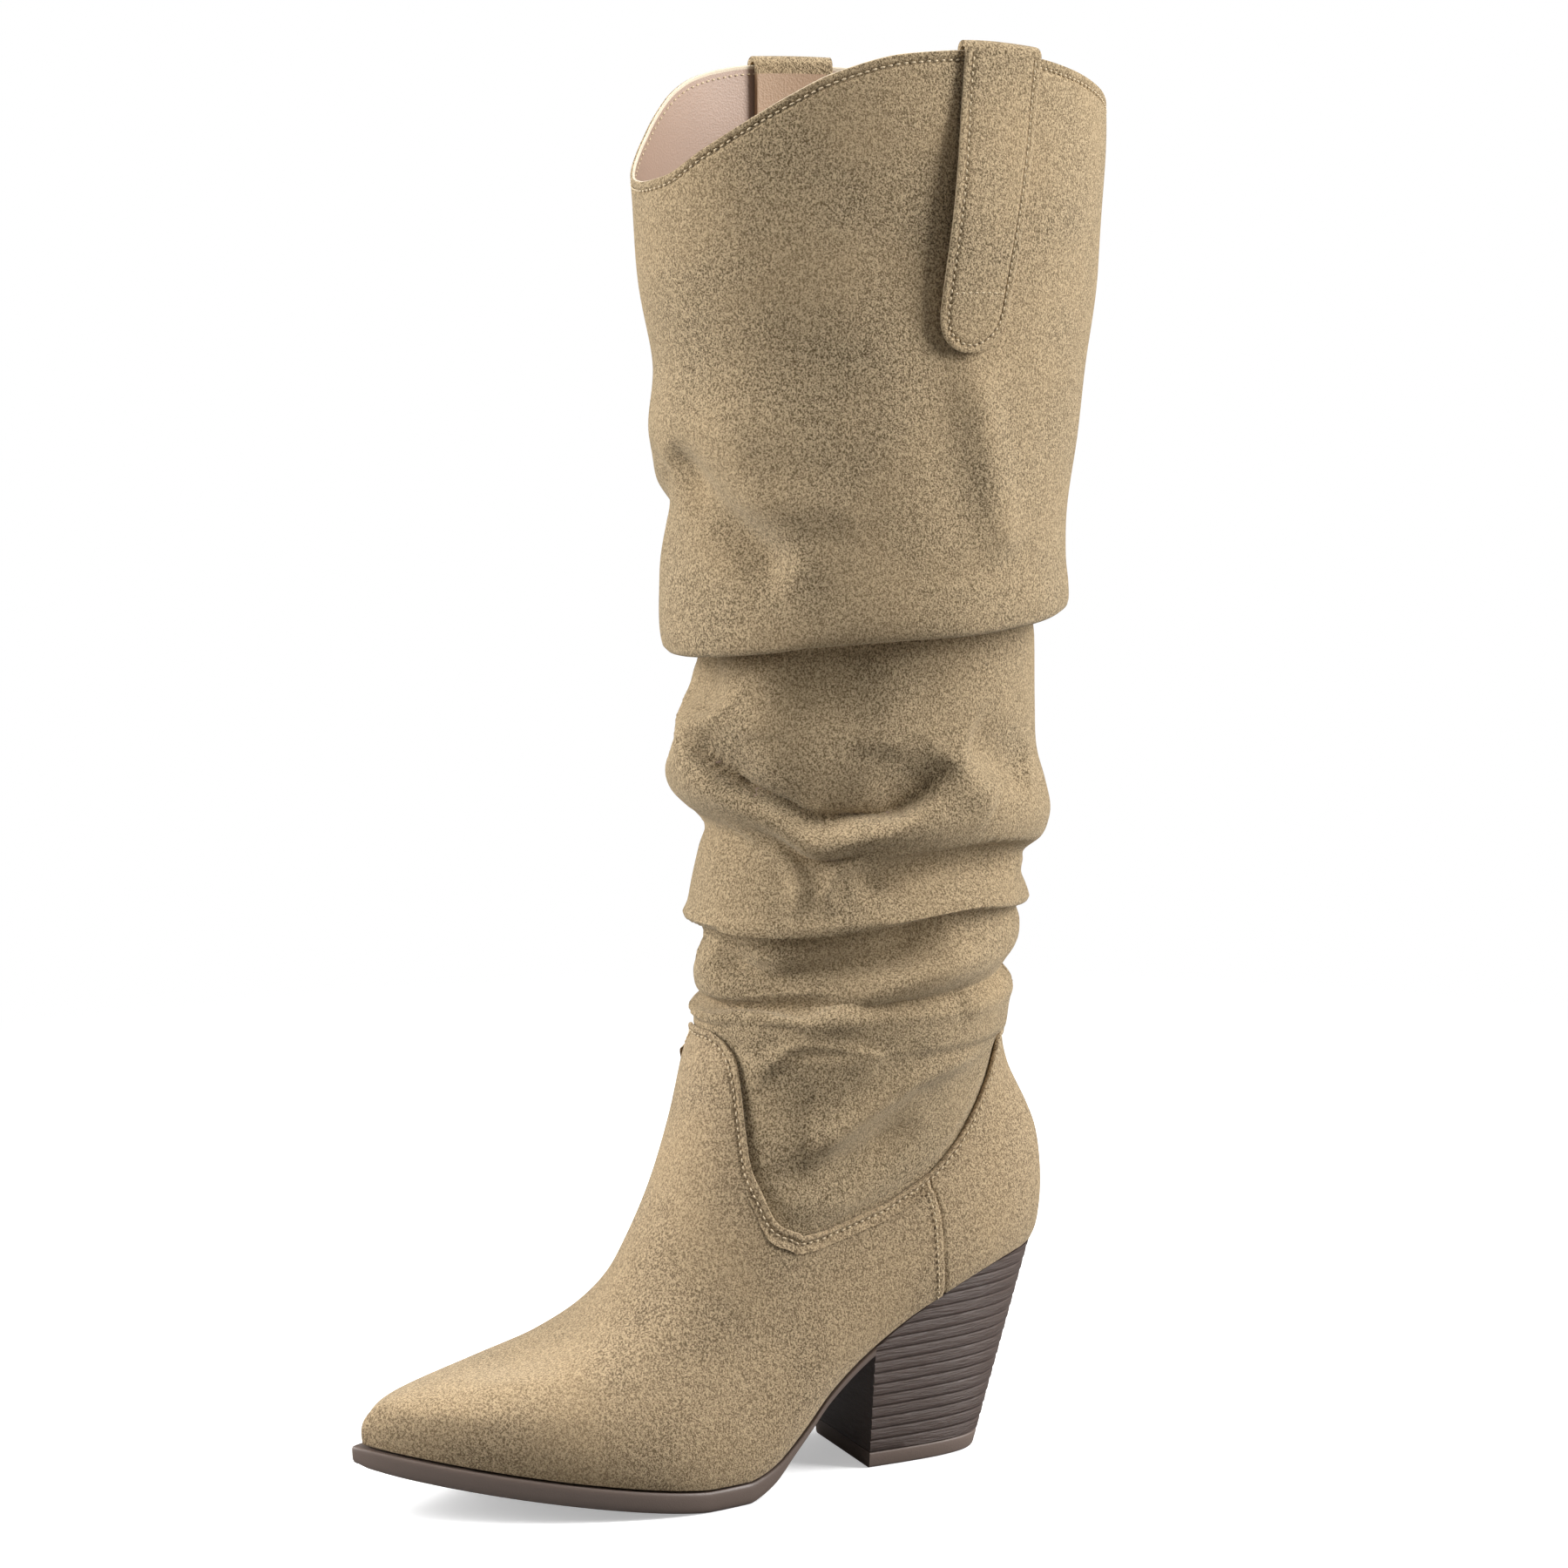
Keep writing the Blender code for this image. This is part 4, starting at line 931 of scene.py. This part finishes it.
class BOOT_OT_shaft(bpy.types.Operator):
    """Slouched leg with its folds, its turned collar and its topline stitches"""
    bl_idname = "boot.shaft"
    bl_label = "Shaft"

    def execute(self, context):
        trim = context.scene.boot_trim
        angle = np.radians(np.arange(0.0, 360.0, 1.25))
        places = leg_places(angle, 0.00155)
        points, normals = leg_surface(angle, places)
        points = points - normals * seam_recess(angle, places)[..., None]
        below = down_from_edge(points)
        points = points - normals * (GROOVE_DEPTH * bell(below - trim.inset, GROOVE_WIDTH))[..., None]
        skin = np.concatenate([points, turned_edge(points, normals, COLLAR_RIM, (0.001, 0.0025))])
        make_piece("shaft_suede", closed(skin), "suede", "suede shaft", "shaft")
        row = np.argmin(np.abs(below.mean(axis=1) - trim.inset))
        stitches("topline_stitches", closed(points)[row], closed(normals)[row], 0.00055, trim)
        return {"FINISHED"}


class BOOT_OT_linings(bpy.types.Operator):
    """Leather lining of the leg and of the foot"""
    bl_idname = "boot.linings"
    bl_label = "Linings"

    def execute(self, context):
        trim = context.scene.boot_trim
        angle = np.radians(np.arange(0.0, 360.0, 1.5))
        places = leg_places(angle, 0.0019)
        points, normals = leg_surface(angle, places)
        up = unit(points[-1] - points[-3])
        inside = points - normals * (LINING_OFFSET + seam_recess(angle, places))[..., None]
        row = np.argmin(np.abs(down_from_edge(points).mean(axis=1) - trim.inset))
        stitches("lining_stitches", closed(inside)[row], -closed(normals)[row], 0.0, trim, slot="lining")
        make_piece("shaft_lining", closed(inside)[:, ::-1], "lining", "lining leather")
        self.collar_edge(inside[-1], up, normals[-1])
        self.foot_lining(np.radians(np.arange(0.0, 360.0, 3.0)))
        return {"FINISHED"}

    def collar_edge(self, edge, up, out):
        """Pale cut edge on top of the lining: a half round with a short flap down each side."""
        flap, middle, half, height = 0.0012, 0.00025, 0.00045, 0.0005
        strip = [edge - up * flap + out * 0.0001]
        strip += [edge + out * (middle - half * np.cos(turn)) + up * (height * np.sin(turn))
                  for turn in np.linspace(0.0, np.pi, 8)]
        strip.append(edge - up * flap + out * 0.0004)
        make_piece("collar_edge", closed(np.stack(strip))[:, ::-1], "lining", "cut edge")

    def foot_lining(self, angle):
        rows = all_rows(angle)
        seam, scale = seam_scale(rows, angle)
        low_end, steps = 4.0, 24
        top = seam - FOOT_LINING_DROP * scale
        places = list(full_rows(angle, np.linspace(0.25, low_end, 12)))
        places += [low_end + (top - low_end) * k / steps for k in range(1, steps + 1)]
        points = on_surface(rows, np.stack(places))
        points = points - outward(points) * FOOT_LINING_OFFSET
        make_piece("foot_lining", closed(points), "lining", "lining leather")


class BOOT_OT_upper(bpy.types.Operator):
    """Foot part in suede: vamp and counter, with the turned edge over the leg"""
    bl_idname = "boot.upper"
    bl_label = "Upper"

    def execute(self, context):
        trim = context.scene.boot_trim
        plain, fine, steps = 1.25, 0.3, 84
        spans = ((0.0, 122.0, plain), (122.0, 134.0, fine), (134.0, 226.0, plain), (226.0, 238.0, fine),
                 (238.0, 360.0, plain))
        angle = np.radians(np.concatenate([np.arange(*span) for span in spans]))
        near = np.array(UPPER_SEAM_ROWS) * MM
        top = below_seam(angle, near)
        low = (0.0, 0.04, 0.08, 0.12, 0.17, 0.23, 0.30, 0.38, 0.48, 0.6)
        places = list(full_rows(angle, low)) + list(full_rows(angle, np.linspace(0.74, UPPER_EVEN_TO, 21)))
        places += [UPPER_EVEN_TO + (top[0] - UPPER_EVEN_TO) * k / steps for k in range(1, steps)]
        places = np.stack(places + top)
        points = on_surface(all_rows(angle), places)
        normals = outward(points)
        first = len(places) - len(near)
        down = np.concatenate([np.full(first, 1.0), near])[:, None]
        inset = trim.inset * 0.75
        depth = np.zeros(places.shape) - 0.0007 * bell(down - inset, GROOVE_WIDTH)
        depth += 0.0004 * bell(down - inset * 0.4, 0.0008) - 0.0009 * bell(places, 0.11)
        depth += self.counter_seam(points, angle, places)
        depth += soft_dents(points, 0.05, 0.35 * MM, 9.1)
        points = points + normals * depth[..., None]
        inward = unit(normals[0] * np.array([1.0, 1.0, 0.0]))
        feather = [points[0] - inward * side - np.array([0.0, 0.0, drop])
                   for side, drop in ((0.0026, 0.0002), (0.0012, 0.0002), (0.0004, 0.0001))]
        hem = turned_edge(points, normals, trim.edge, (0.001, 0.003, 0.006))
        skin = np.concatenate([np.stack(feather), points, hem])
        make_piece("upper_suede", closed(skin), "suede", "suede vamp", "upper")
        row = first + np.argmin(np.abs(near - inset))
        stitches("seam_stitches", closed(points)[row], closed(normals)[row], 0.0007, trim)
        self.counter_row("counter_stitches_outer", 1.0, trim)
        self.counter_row("counter_stitches_inner", -1.0, trim)
        return {"FINISHED"}

    def counter_seam(self, points, angle, places):
        """Lapped seam down the counter: a sharp step with a lip, on both sides."""
        course = np.array(COUNTER_SEAM)
        line = np.interp(places, course[::-1, 1], course[::-1, 0])
        girth = np.linalg.norm(np.gradient(points, axis=1), axis=-1)
        per_degree = girth / np.maximum(np.abs(np.gradient(np.degrees(angle)))[None, :], 1e-6)
        away = (from_front(np.degrees(angle))[None, :] - line) * per_degree
        lip = 0.0004 * np.exp(-np.clip(-away, 0.0, None) / 0.004) * (away < 0)
        notch = -0.0007 * bell(away - 0.0004, 0.0006)
        return (lip + notch) * (places < seam_row(angle)[None, :])

    def counter_row(self, name, way, trim):
        """Stitches beside the counter's seam on one side."""
        course = course_samples(np.array(COUNTER_SEAM))[2:-1]
        beside, spread = 1.4, np.radians(0.4)
        around = np.radians(way * (course[:, 0] - beside))
        grid = np.concatenate([around - spread, around, around + spread])
        flat = on_surface(all_rows(grid), np.tile(course[:, 1], 3)[None, :])[0].reshape(3, -1, 3)
        out = unit(np.cross(flat[2] - flat[0], -np.gradient(flat[1], axis=0)))
        stitches(name, flat[1], out, 0.0005, trim, spread=0.9, share=0.55)


StrapEnd = namedtuple("StrapEnd", "angle lean front")
OUTER_STRAP = StrapEnd(angle=103.6, lean=-8.5, front=-1.0)
INNER_STRAP = StrapEnd(angle=271.0, lean=8.5, front=1.0)


class LegPatch:
    """The leg near one angle, read by angle and by distance below the collar."""

    def __init__(self, centre):
        self.step, self.pitch = 0.0005, np.radians(0.5)
        self.turn = np.radians(np.arange(-32.0, 32.1, 0.5))
        angle = centre + self.turn
        line = on_surface(all_rows(angle), full_rows(angle, np.linspace(LAST_ROW, LAST_ROW - 12.0, 400)))
        run = run_along(line)
        below = np.arange(0.0, 0.125, self.step)
        self.points = np.stack([values_at(below, run[:, j], line[:, j]) for j in range(len(angle))], 1)
        around = np.gradient(self.points, axis=1)
        self.out = unit(np.cross(np.gradient(self.points, axis=0), around))
        self.radius = np.linalg.norm(around[0, len(angle) // 2]) / self.pitch

    def at(self, turn, below):
        """Point and outward direction."""
        j = np.clip((turn - self.turn[0]) / self.pitch, 0, len(self.turn) - 1.001)
        i = np.clip(below / self.step, 0, len(self.points) - 1.001)
        i0, j0 = int(i), int(j)
        f, g = i - i0, j - j0
        found = []
        for grid in (self.points, self.out):
            low, high = (grid[row, j0] * (1 - g) + grid[row, j0 + 1] * g for row in (i0, i0 + 1))
            found.append(low * (1 - f) + high * f)
        return found[0], unit(found[1])


def half_width(below):
    """Half of a strap's width at a distance below the collar."""
    return (STRAP_WIDTH + (STRAP_END_WIDTH - STRAP_WIDTH) * below / STRAP_OUTER_LEG) / 2


def strap_spot(patch, strap, below, aside):
    """Middle surface of the strap's outer leg: distance below the collar, and sideways from its middle."""
    lean = np.radians(strap.lean) * below / STRAP_OUTER_LEG
    point, out = patch.at(lean + aside / patch.radius, below)
    share = np.clip(below / STRAP_OUTER_LEG, 0.0, 1.0)
    front_edge = 0.5 + aside / STRAP_WIDTH * strap.front
    stand = STRAP_STANDOFF * np.sin(np.pi * share) ** 2 * (0.35 + 0.65 * front_edge)
    return point + out * (STRAP_REACH - WALL / 2 + stand), out


def grooved(spot, inside):
    """Presses the stitch line in along the strap's edge and rounds the border outside it."""
    point, out = spot
    border = 0.0003 * bell(inside, 0.0006)
    return point - out * (GROOVE_DEPTH * bell(inside - STRAP_STITCH_INSET, GROOVE_WIDTH) + border)


def strap_grid(patch, strap):
    """Middle surface of a strap: up inside the leg, over the collar, down outside to its round end."""
    half_wall = WALL / 2
    straight = STRAP_LOOP_RISE - STRAP_REACH
    across = np.linspace(-1.0, 1.0, 41)
    turns = across * STRAP_WIDTH / 2 / patch.radius
    grid = []
    for below in np.linspace(STRAP_INNER_LEG, 0.0, 14):
        row = [patch.at(turn, below) for turn in turns]
        grid.append([point - out * (half_wall + STRAP_REACH) for point, out in row])
    for bend in np.linspace(np.pi, 0.0, 19):
        row = []
        for turn in turns:
            point, out = patch.at(turn, 0.0)
            up = unit(point - patch.at(turn, 0.001)[0])
            row.append(point - out * half_wall + up * (straight + STRAP_REACH * np.sin(bend))
                       + out * STRAP_REACH * np.cos(bend))
        grid.append(row)
    for below in np.linspace(0.0, STRAP_STRAIGHT, 56):
        half = half_width(below)
        grid.append([grooved(strap_spot(patch, strap, below, w * half), half - abs(w * half))
                     for w in across])
    for turn in np.linspace(0.0, np.radians(87.0), 27)[1:]:
        down, half = STRAP_END * np.sin(turn), STRAP_END * np.cos(turn)
        grid.append([grooved(strap_spot(patch, strap, STRAP_STRAIGHT + down, w * half),
                             STRAP_END - math.hypot(down, w * half)) for w in across])
    return np.array(grid)


def edge_path():
    """Course of a strap's edge stitches: distance below the collar, and sideways from its middle."""
    radius = STRAP_END - STRAP_STITCH_INSET
    down = np.linspace(0.001, STRAP_STRAIGHT, 60)
    sides = [(below, half_width(below) - STRAP_STITCH_INSET) for below in down]
    end = [(STRAP_STRAIGHT + radius * np.sin(turn), -radius * np.cos(turn))
           for turn in np.linspace(0.0, np.pi, 40)[1:-1]]
    return [(below, -aside) for below, aside in sides] + end + sides[::-1]


def inner_face(obj, patch):
    """Gives the faces of the strap inside the leg its smooth leather."""
    top = patch.at(0.0, 0.0)[0]
    centre = Vector((LEG_AXIS_X, 0.0, 0.0))
    reach = math.hypot(top[0] - centre.x, top[1]) - WALL
    for face in obj.data.polygons:
        spot = face.center - centre
        if math.hypot(spot.x, spot.y) < reach and face.center.z < top[2] - 0.0015:
            face.material_index = 1


class BOOT_OT_straps(bpy.types.Operator):
    """Pull straps looped over the collar, with their stitches"""
    bl_idname = "boot.straps"
    bl_label = "Pull straps"

    def execute(self, context):
        trim = context.scene.boot_trim
        for name, strap in (("outer", OUTER_STRAP), ("inner", INNER_STRAP)):
            patch = LegPatch(np.radians(strap.angle))
            obj = sheet(f"pull_strap_{name}_suede", strap_grid(patch, strap))
            apply_modifier(obj, "SOLIDIFY", thickness=STRAP_THICKNESS, offset=0.0, use_even_offset=False)
            apply_modifier(obj, "BEVEL", width=0.00045, segments=3, limit_method="ANGLE",
                           angle_limit=math.radians(50), material=-1)
            paint(obj, bpy.data.materials["suede shaft"], bpy.data.materials["strap leather"])
            inner_face(obj, patch)
            place_piece(obj, "suede", f"pull_strap_{name}")
            bar = [(STRAP_OUTER_LEG - BAR_RISE, aside) for aside in np.linspace(-BAR_HALF, BAR_HALF, 20)]
            for row, path in ((f"strap_{name}_stitches", edge_path()), (f"strap_{name}_bar_stitches", bar)):
                spots = [strap_spot(patch, strap, *place) for place in path]
                points, out = (np.array(part) for part in zip(*spots))
                stitches(row, points, out, STRAP_THICKNESS / 2 - 0.0001, trim, spread=0.92, share=0.6)
        return {"FINISHED"}


def sole_tip(inset):
    """Place of the toe's tip: past the upper by a ledge, or pulled in by twice an inset."""
    reach = OUTSOLE_TOE_LEDGE + inset if inset < 0 else -2.0 * inset
    return HEEL_BACK_X + FOOT_ROWS[0].front * FOOT_LENGTH + reach


def sole_sides(x, inset):
    """Outline of the sole at a place: outer and inner side, pulled in by an inset."""
    row = FOOT_ROWS[0]
    ahead = x > WIDEST_X
    along = np.where(ahead, (x - WIDEST_X) / (sole_tip(inset) - WIDEST_X),
                     (WIDEST_X - x) / (WIDEST_X - SEAT_BACK_X - max(inset, 0.0)))
    c = np.clip(along, 0.0, 1.0) ** (np.where(ahead, row.round_x, SEAT_ROUND_X) / 2.0)
    s = np.sqrt(np.maximum(1.0 - c**2, 0.0)) ** (2.0 / np.where(ahead, row.round_y, SEAT_ROUND_Y))
    sides = []
    for half, outer_side in ((row.outer, True), (row.inner, False)):
        y = half * BALL_WIDTH * s * (1.0 - waist_pull(x, row.waist, outer_side)) - inset * np.sqrt(s)
        sides.append(np.maximum(y, 0.0))
    return centre_line(x) + sides[0], centre_line(x) - sides[1]


def toe_run(tip, count):
    """Places from the widest part to the toe's tip, closer together at the tip."""
    turn = np.linspace(0.0, np.pi / 2, count + 1)[1:]
    return WIDEST_X + (tip - WIDEST_X) * np.sin(turn) ** 1.1


def drawn_in(outer, inner, closing):
    """Moves both sides towards their middle by a share."""
    middle = (outer + inner) / 2
    return outer + (middle - outer) * closing, inner + (middle - inner) * closing


def slab_ring(x, outer, inner, z):
    """Outline of a slab: forward along its outer side and back along its inner side."""
    return np.stack([np.concatenate([x, x[::-1]]), np.concatenate([outer, inner[::-1]]),
                     np.concatenate([z, z[::-1]])], -1)


# Section of the outsole from below: share of its thickness, inset, how far it closes to its middle.
OUTSOLE_SECTION = (
    (0.0, 0.0010, 1.0), (0.0, 0.0010, 0.5), (0.0, 0.0006, 0.0), (0.05, 0.00015, 0.0), (0.12, -0.00025, 0.0),
    (0.22, -0.0005, 0.0), (0.4, -0.0007, 0.0), (0.7, -0.0008, 0.0), (0.86, -0.0008, 0.0),
    (0.95, -0.0006, 0.0),
    (1.0, -0.0002, 0.0), (1.0, 0.0006, 0.0), (1.0, 0.0012, 0.5), (1.0, 0.0012, 1.0),
)
# Section of the insole from below: share of its thickness, how far it closes to its middle.
INSOLE_SECTION = ((0.0, 1.0), (0.0, 0.02), (0.3, 0.0), (0.8, 0.0), (1.0, 0.03), (1.12, 0.3), (1.15, 1.0))
# A groove between two heel layers: height from the groove in layers, share of its depth.
GROOVE_SECTION = (
    (-0.26, 0.0), (-0.12, 0.15), (-0.05, 0.85), (0.0, 1.0), (0.05, 0.80), (0.11, 0.1), (0.22, -0.15),
    (0.50, -0.05),
)
# Section of the top piece from the floor: height, inset.
TOP_PIECE_SECTION = (
    (0.0, 0.0007), (0.0002, 0.0003), (0.0006, 0.0001), (0.0012, 0.0), (0.0030, 0.0),
    (TOP_PIECE_HEIGHT - 0.0008, 0.0), (TOP_PIECE_HEIGHT - 0.0003, 0.00015), (TOP_PIECE_HEIGHT, 0.0005),
)


class BOOT_OT_outsole(bpy.types.Operator):
    """Outsole from the heel's breast to the toe, with softened edges"""
    bl_idname = "boot.outsole"
    bl_label = "Outsole"

    def execute(self, context):
        x_start = HEEL_BASE_LENGTH / 2 + BREAST_LEAN + SEAT_GAP
        tip, tip_length = sole_tip(-OUTSOLE_MARGIN), 0.004
        x = np.concatenate([np.linspace(x_start, WIDEST_X, 70), toe_run(tip, 60)])
        top = sole_line(x) - SEAT_GAP
        thick = OUTSOLE_THICKNESS * curve_through(OUTSOLE_LINE, place_on_foot(x))
        bottom = np.maximum(top - thick, 0.0)
        outer, inner = sole_sides(x, -OUTSOLE_MARGIN)
        room = np.maximum(outer - inner, 0.0) / 2 * 0.9
        rings = []
        for share, inset, closing in OUTSOLE_SECTION:
            pull = np.minimum(inset + OUTSOLE_MARGIN, room)
            back = np.clip((x - tip) / tip_length + 1.0, 0.0, 1.0) * (inset + OUTSOLE_MARGIN)
            rings.append(slab_ring(x - back, *drawn_in(outer - pull, inner + pull, closing),
                                   bottom + (top - bottom) * share))
        make_piece("outsole_rubber", closed(np.stack(rings)[:, ::-1]), "sole_rubber", "outsole rubber",
                   "outsole", angle=40.0)
        return {"FINISHED"}


class BOOT_OT_insole(bpy.types.Operator):
    """Lined insole inside the upper"""
    bl_idname = "boot.insole"
    bl_label = "Insole"

    def execute(self, context):
        inset = WALL + STRAP_GAP
        turn = np.linspace(0.03, np.pi / 2, 40)
        back = SEAT_BACK_X + inset + 0.25 * FOOT_LENGTH * (1.0 - np.cos(turn))
        x = np.concatenate([back[:-1], np.linspace(back[-1], WIDEST_X, 40), toe_run(sole_tip(inset), 40)])
        sides = sole_sides(x, inset)
        rings = [slab_ring(x, *drawn_in(*sides, closing), sole_line(x) + INSOLE_THICKNESS * up)
                 for up, closing in INSOLE_SECTION]
        make_piece("insole_board", closed(np.stack(rings)[:, ::-1]), "lining", "lining leather", "insole",
                   angle=40.0)
        return {"FINISHED"}


def heel_rings(heights, grooves):
    """Outlines of the heel from the floor to the seat: flat breast, squared back, cut to the seat's curve."""
    turn = np.linspace(-np.pi / 2, np.pi / 2, 97)
    c, s = np.abs(np.cos(turn)), np.sin(turn)
    breast = np.linspace(1.0, -1.0, 16)[1:-1]
    base_front, half_base = HEEL_BASE_LENGTH / 2, HEEL_BASE_WIDTH / 2
    seat_front = base_front + BREAST_LEAN
    outer, inner = (side[0] for side in sole_sides(np.full(1, seat_front), 0.0))
    base_power, seat_power = 2.0 / HEEL_BACK_SQUARENESS, 2.0 / SEAT_ROUND_Y
    rings = []
    for z, groove in zip(heights, grooves):
        base_x = np.append(base_front - (HEEL_BASE_LENGTH - groove) * c**base_power,
                           np.full(len(breast), base_front))
        base_y = np.append((half_base - groove) * signed_power(s, base_power), breast * (half_base - groove))
        seat_x = np.append(seat_front - (seat_front - SEAT_BACK_X - groove) * c**seat_power,
                           np.full(len(breast), seat_front))
        seat_y = np.append((np.where(s > 0, outer, -inner) - groove) * signed_power(s, seat_power),
                           np.where(breast > 0, breast * (outer - groove), -breast * (inner + groove)))
        seat_z = sole_line(seat_x) - SEAT_GAP
        up = np.minimum(z / seat_z, 1.0)
        rings.append(np.stack([base_x + (seat_x - base_x) * up, base_y + (seat_y - base_y) * up,
                               np.minimum(z, seat_z)], -1))
    return np.stack(rings)[:, ::-1]


def capped(rings):
    """Closes both ends of a stack of outlines to one point each, over the heel's middle."""
    first, last = rings[0].copy(), rings[-1].copy()
    first[:, :2] = 0.0
    last[:, :2] = 0.0
    last[:, 2] = last[:, 2].mean()
    return np.concatenate([first[None], rings, last[None]])


class BOOT_OT_heel(bpy.types.Operator):
    """Stacked block heel with its grooves, and the top piece under it"""
    bl_idname = "boot.heel"
    bl_label = "Heel"

    def execute(self, context):
        depth = context.scene.boot_sole.groove
        start = TOP_PIECE_HEIGHT + SEAT_GAP
        heights, grooves = [start, start + 0.0002], [0.0003, 0.0]
        layers = int((HEEL_HEIGHT - start) / LAYER_PITCH) + 2
        for k in range(1, layers + 1):
            heights += [start + (k + up) * LAYER_PITCH for up, _ in GROOVE_SECTION]
            grooves += [depth * share for _, share in GROOVE_SECTION]
        make_piece("heel_stack", closed(capped(heel_rings(heights, grooves))), "heel_stack", "heel stack",
                   "heel_block", angle=50.0)
        make_piece("heel_top_piece", closed(capped(heel_rings(*zip(*TOP_PIECE_SECTION)))), "sole_rubber",
                   "top piece rubber", "top_piece", angle=50.0)
        return {"FINISHED"}


def aim(obj, target):
    way = Vector(target) - obj.location
    obj.rotation_euler = way.to_track_quat("-Z", "Y").to_euler()


def area_light(name, place, size, power):
    """A rectangular light that faces the boot."""
    deselect()
    bpy.ops.object.light_add(type="AREA", location=place)
    light = bpy.context.object
    light.name = name
    light.data.shape = "RECTANGLE"
    light.data.size, light.data.size_y = size
    light.data.energy = power
    aim(light, LIGHT_TARGET)


def light_world(scene):
    """White behind the boot for the camera, and a soft light that falls off to the dark side."""
    world = scene.world or bpy.data.worlds.new("studio")
    scene.world = world
    world.use_nodes = True
    tree = world.node_tree
    tree.nodes.clear()
    out = node(tree, "ShaderNodeOutputWorld", (600, 0))
    where = node(tree, "ShaderNodeTexCoord", (-800, 0))
    dot = node(tree, "ShaderNodeVectorMath", (-600, 0), operation="DOT_PRODUCT")
    dot.inputs[1].default_value = DARK_SIDE
    fall = node(tree, "ShaderNodeMapRange", (-400, 0), From_Min=-0.2, From_Max=0.9, To_Min=0.40, To_Max=0.03)
    lighting = node(tree, "ShaderNodeBackground", (0, 0), Color=WHITE)
    plain = node(tree, "ShaderNodeBackground", (0, -150), Color=WHITE)
    path = node(tree, "ShaderNodeLightPath", (0, 300))
    both = node(tree, "ShaderNodeMixShader", (300, 0))
    wire(tree, (where, "Generated", dot, 0), (dot, "Value", fall, "Value"),
         (fall, "Result", lighting, "Strength"),
         (path, "Is Camera Ray", both, 0), (lighting, 0, both, 1), (plain, 0, both, 2),
         (both, 0, out, "Surface"))


class BOOT_OT_stage(bpy.types.Operator):
    """Pale floor, soft studio light and the camera"""
    bl_idname = "boot.stage"
    bl_label = "Stage"

    def execute(self, context):
        scene = context.scene
        look = scene.boot_stage
        deselect()
        bpy.ops.mesh.primitive_plane_add(size=60.0, location=(0.0, 0.0, 0.0))
        floor = bpy.context.object
        floor.name = "floor"
        floor_material("pale floor")
        paint(floor, bpy.data.materials["pale floor"])
        light_world(scene)
        area_light("toe light", (1.45, -0.34, 0.85), (0.8, 1.3), look.key)
        area_light("heel light", (-1.2, 0.8, 1.05), (0.7, 1.3), look.rim)
        area_light("top light", (0.15, 0.15, 1.7), (1.4, 1.4), look.top)
        deselect()
        bpy.ops.object.camera_add(location=CAMERA_PLACE)
        camera = bpy.context.object
        camera.name = "camera"
        aim(camera, CAMERA_TARGET)
        camera.data.sensor_width = 36.0
        camera.data.lens = CAMERA_LENS
        camera.data.clip_end = 50.0
        scene.camera = camera
        scene.view_settings.view_transform = "Standard"
        return {"FINISHED"}


class BOOT_PT_panel(bpy.types.Panel):
    """Lists the boot's pieces and looks"""
    bl_idname = "BOOT_PT_panel"
    bl_label = "Slouch boot"
    bl_space_type = "VIEW_3D"
    bl_region_type = "UI"
    bl_category = "Boot"

    def draw(self, context):
        scene = context.scene
        for look in (scene.boot_suede, scene.boot_sole, scene.boot_trim, scene.boot_stage):
            box = self.layout.box()
            for key in look.__annotations__:
                box.prop(look, key)
        for kind in OPERATORS:
            self.layout.operator(kind.bl_idname)


OPERATORS = (BOOT_OT_upper, BOOT_OT_shaft, BOOT_OT_linings, BOOT_OT_straps, BOOT_OT_outsole, BOOT_OT_insole,
             BOOT_OT_heel, BOOT_OT_stage)
GROUPS = (SuedeLook, SoleLook, TrimSizes, StageLook)
CLASSES = GROUPS + OPERATORS + (BOOT_PT_panel,)


def register():
    for kind in CLASSES:
        bpy.utils.register_class(kind)
    bpy.types.Scene.boot_suede = bpy.props.PointerProperty(type=SuedeLook)
    bpy.types.Scene.boot_sole = bpy.props.PointerProperty(type=SoleLook)
    bpy.types.Scene.boot_trim = bpy.props.PointerProperty(type=TrimSizes)
    bpy.types.Scene.boot_stage = bpy.props.PointerProperty(type=StageLook)


def unregister():
    for name in ("boot_suede", "boot_sole", "boot_trim", "boot_stage"):
        delattr(bpy.types.Scene, name)
    for kind in reversed(CLASSES):
        bpy.utils.unregister_class(kind)


def main():
    register()
    make_materials(bpy.context.scene)
    bpy.ops.boot.upper()
    bpy.ops.boot.shaft()
    bpy.ops.boot.linings()
    bpy.ops.boot.straps()
    bpy.ops.boot.outsole()
    bpy.ops.boot.insole()
    bpy.ops.boot.heel()
    bpy.ops.boot.stage()


if __name__ == "__main__":
    main()
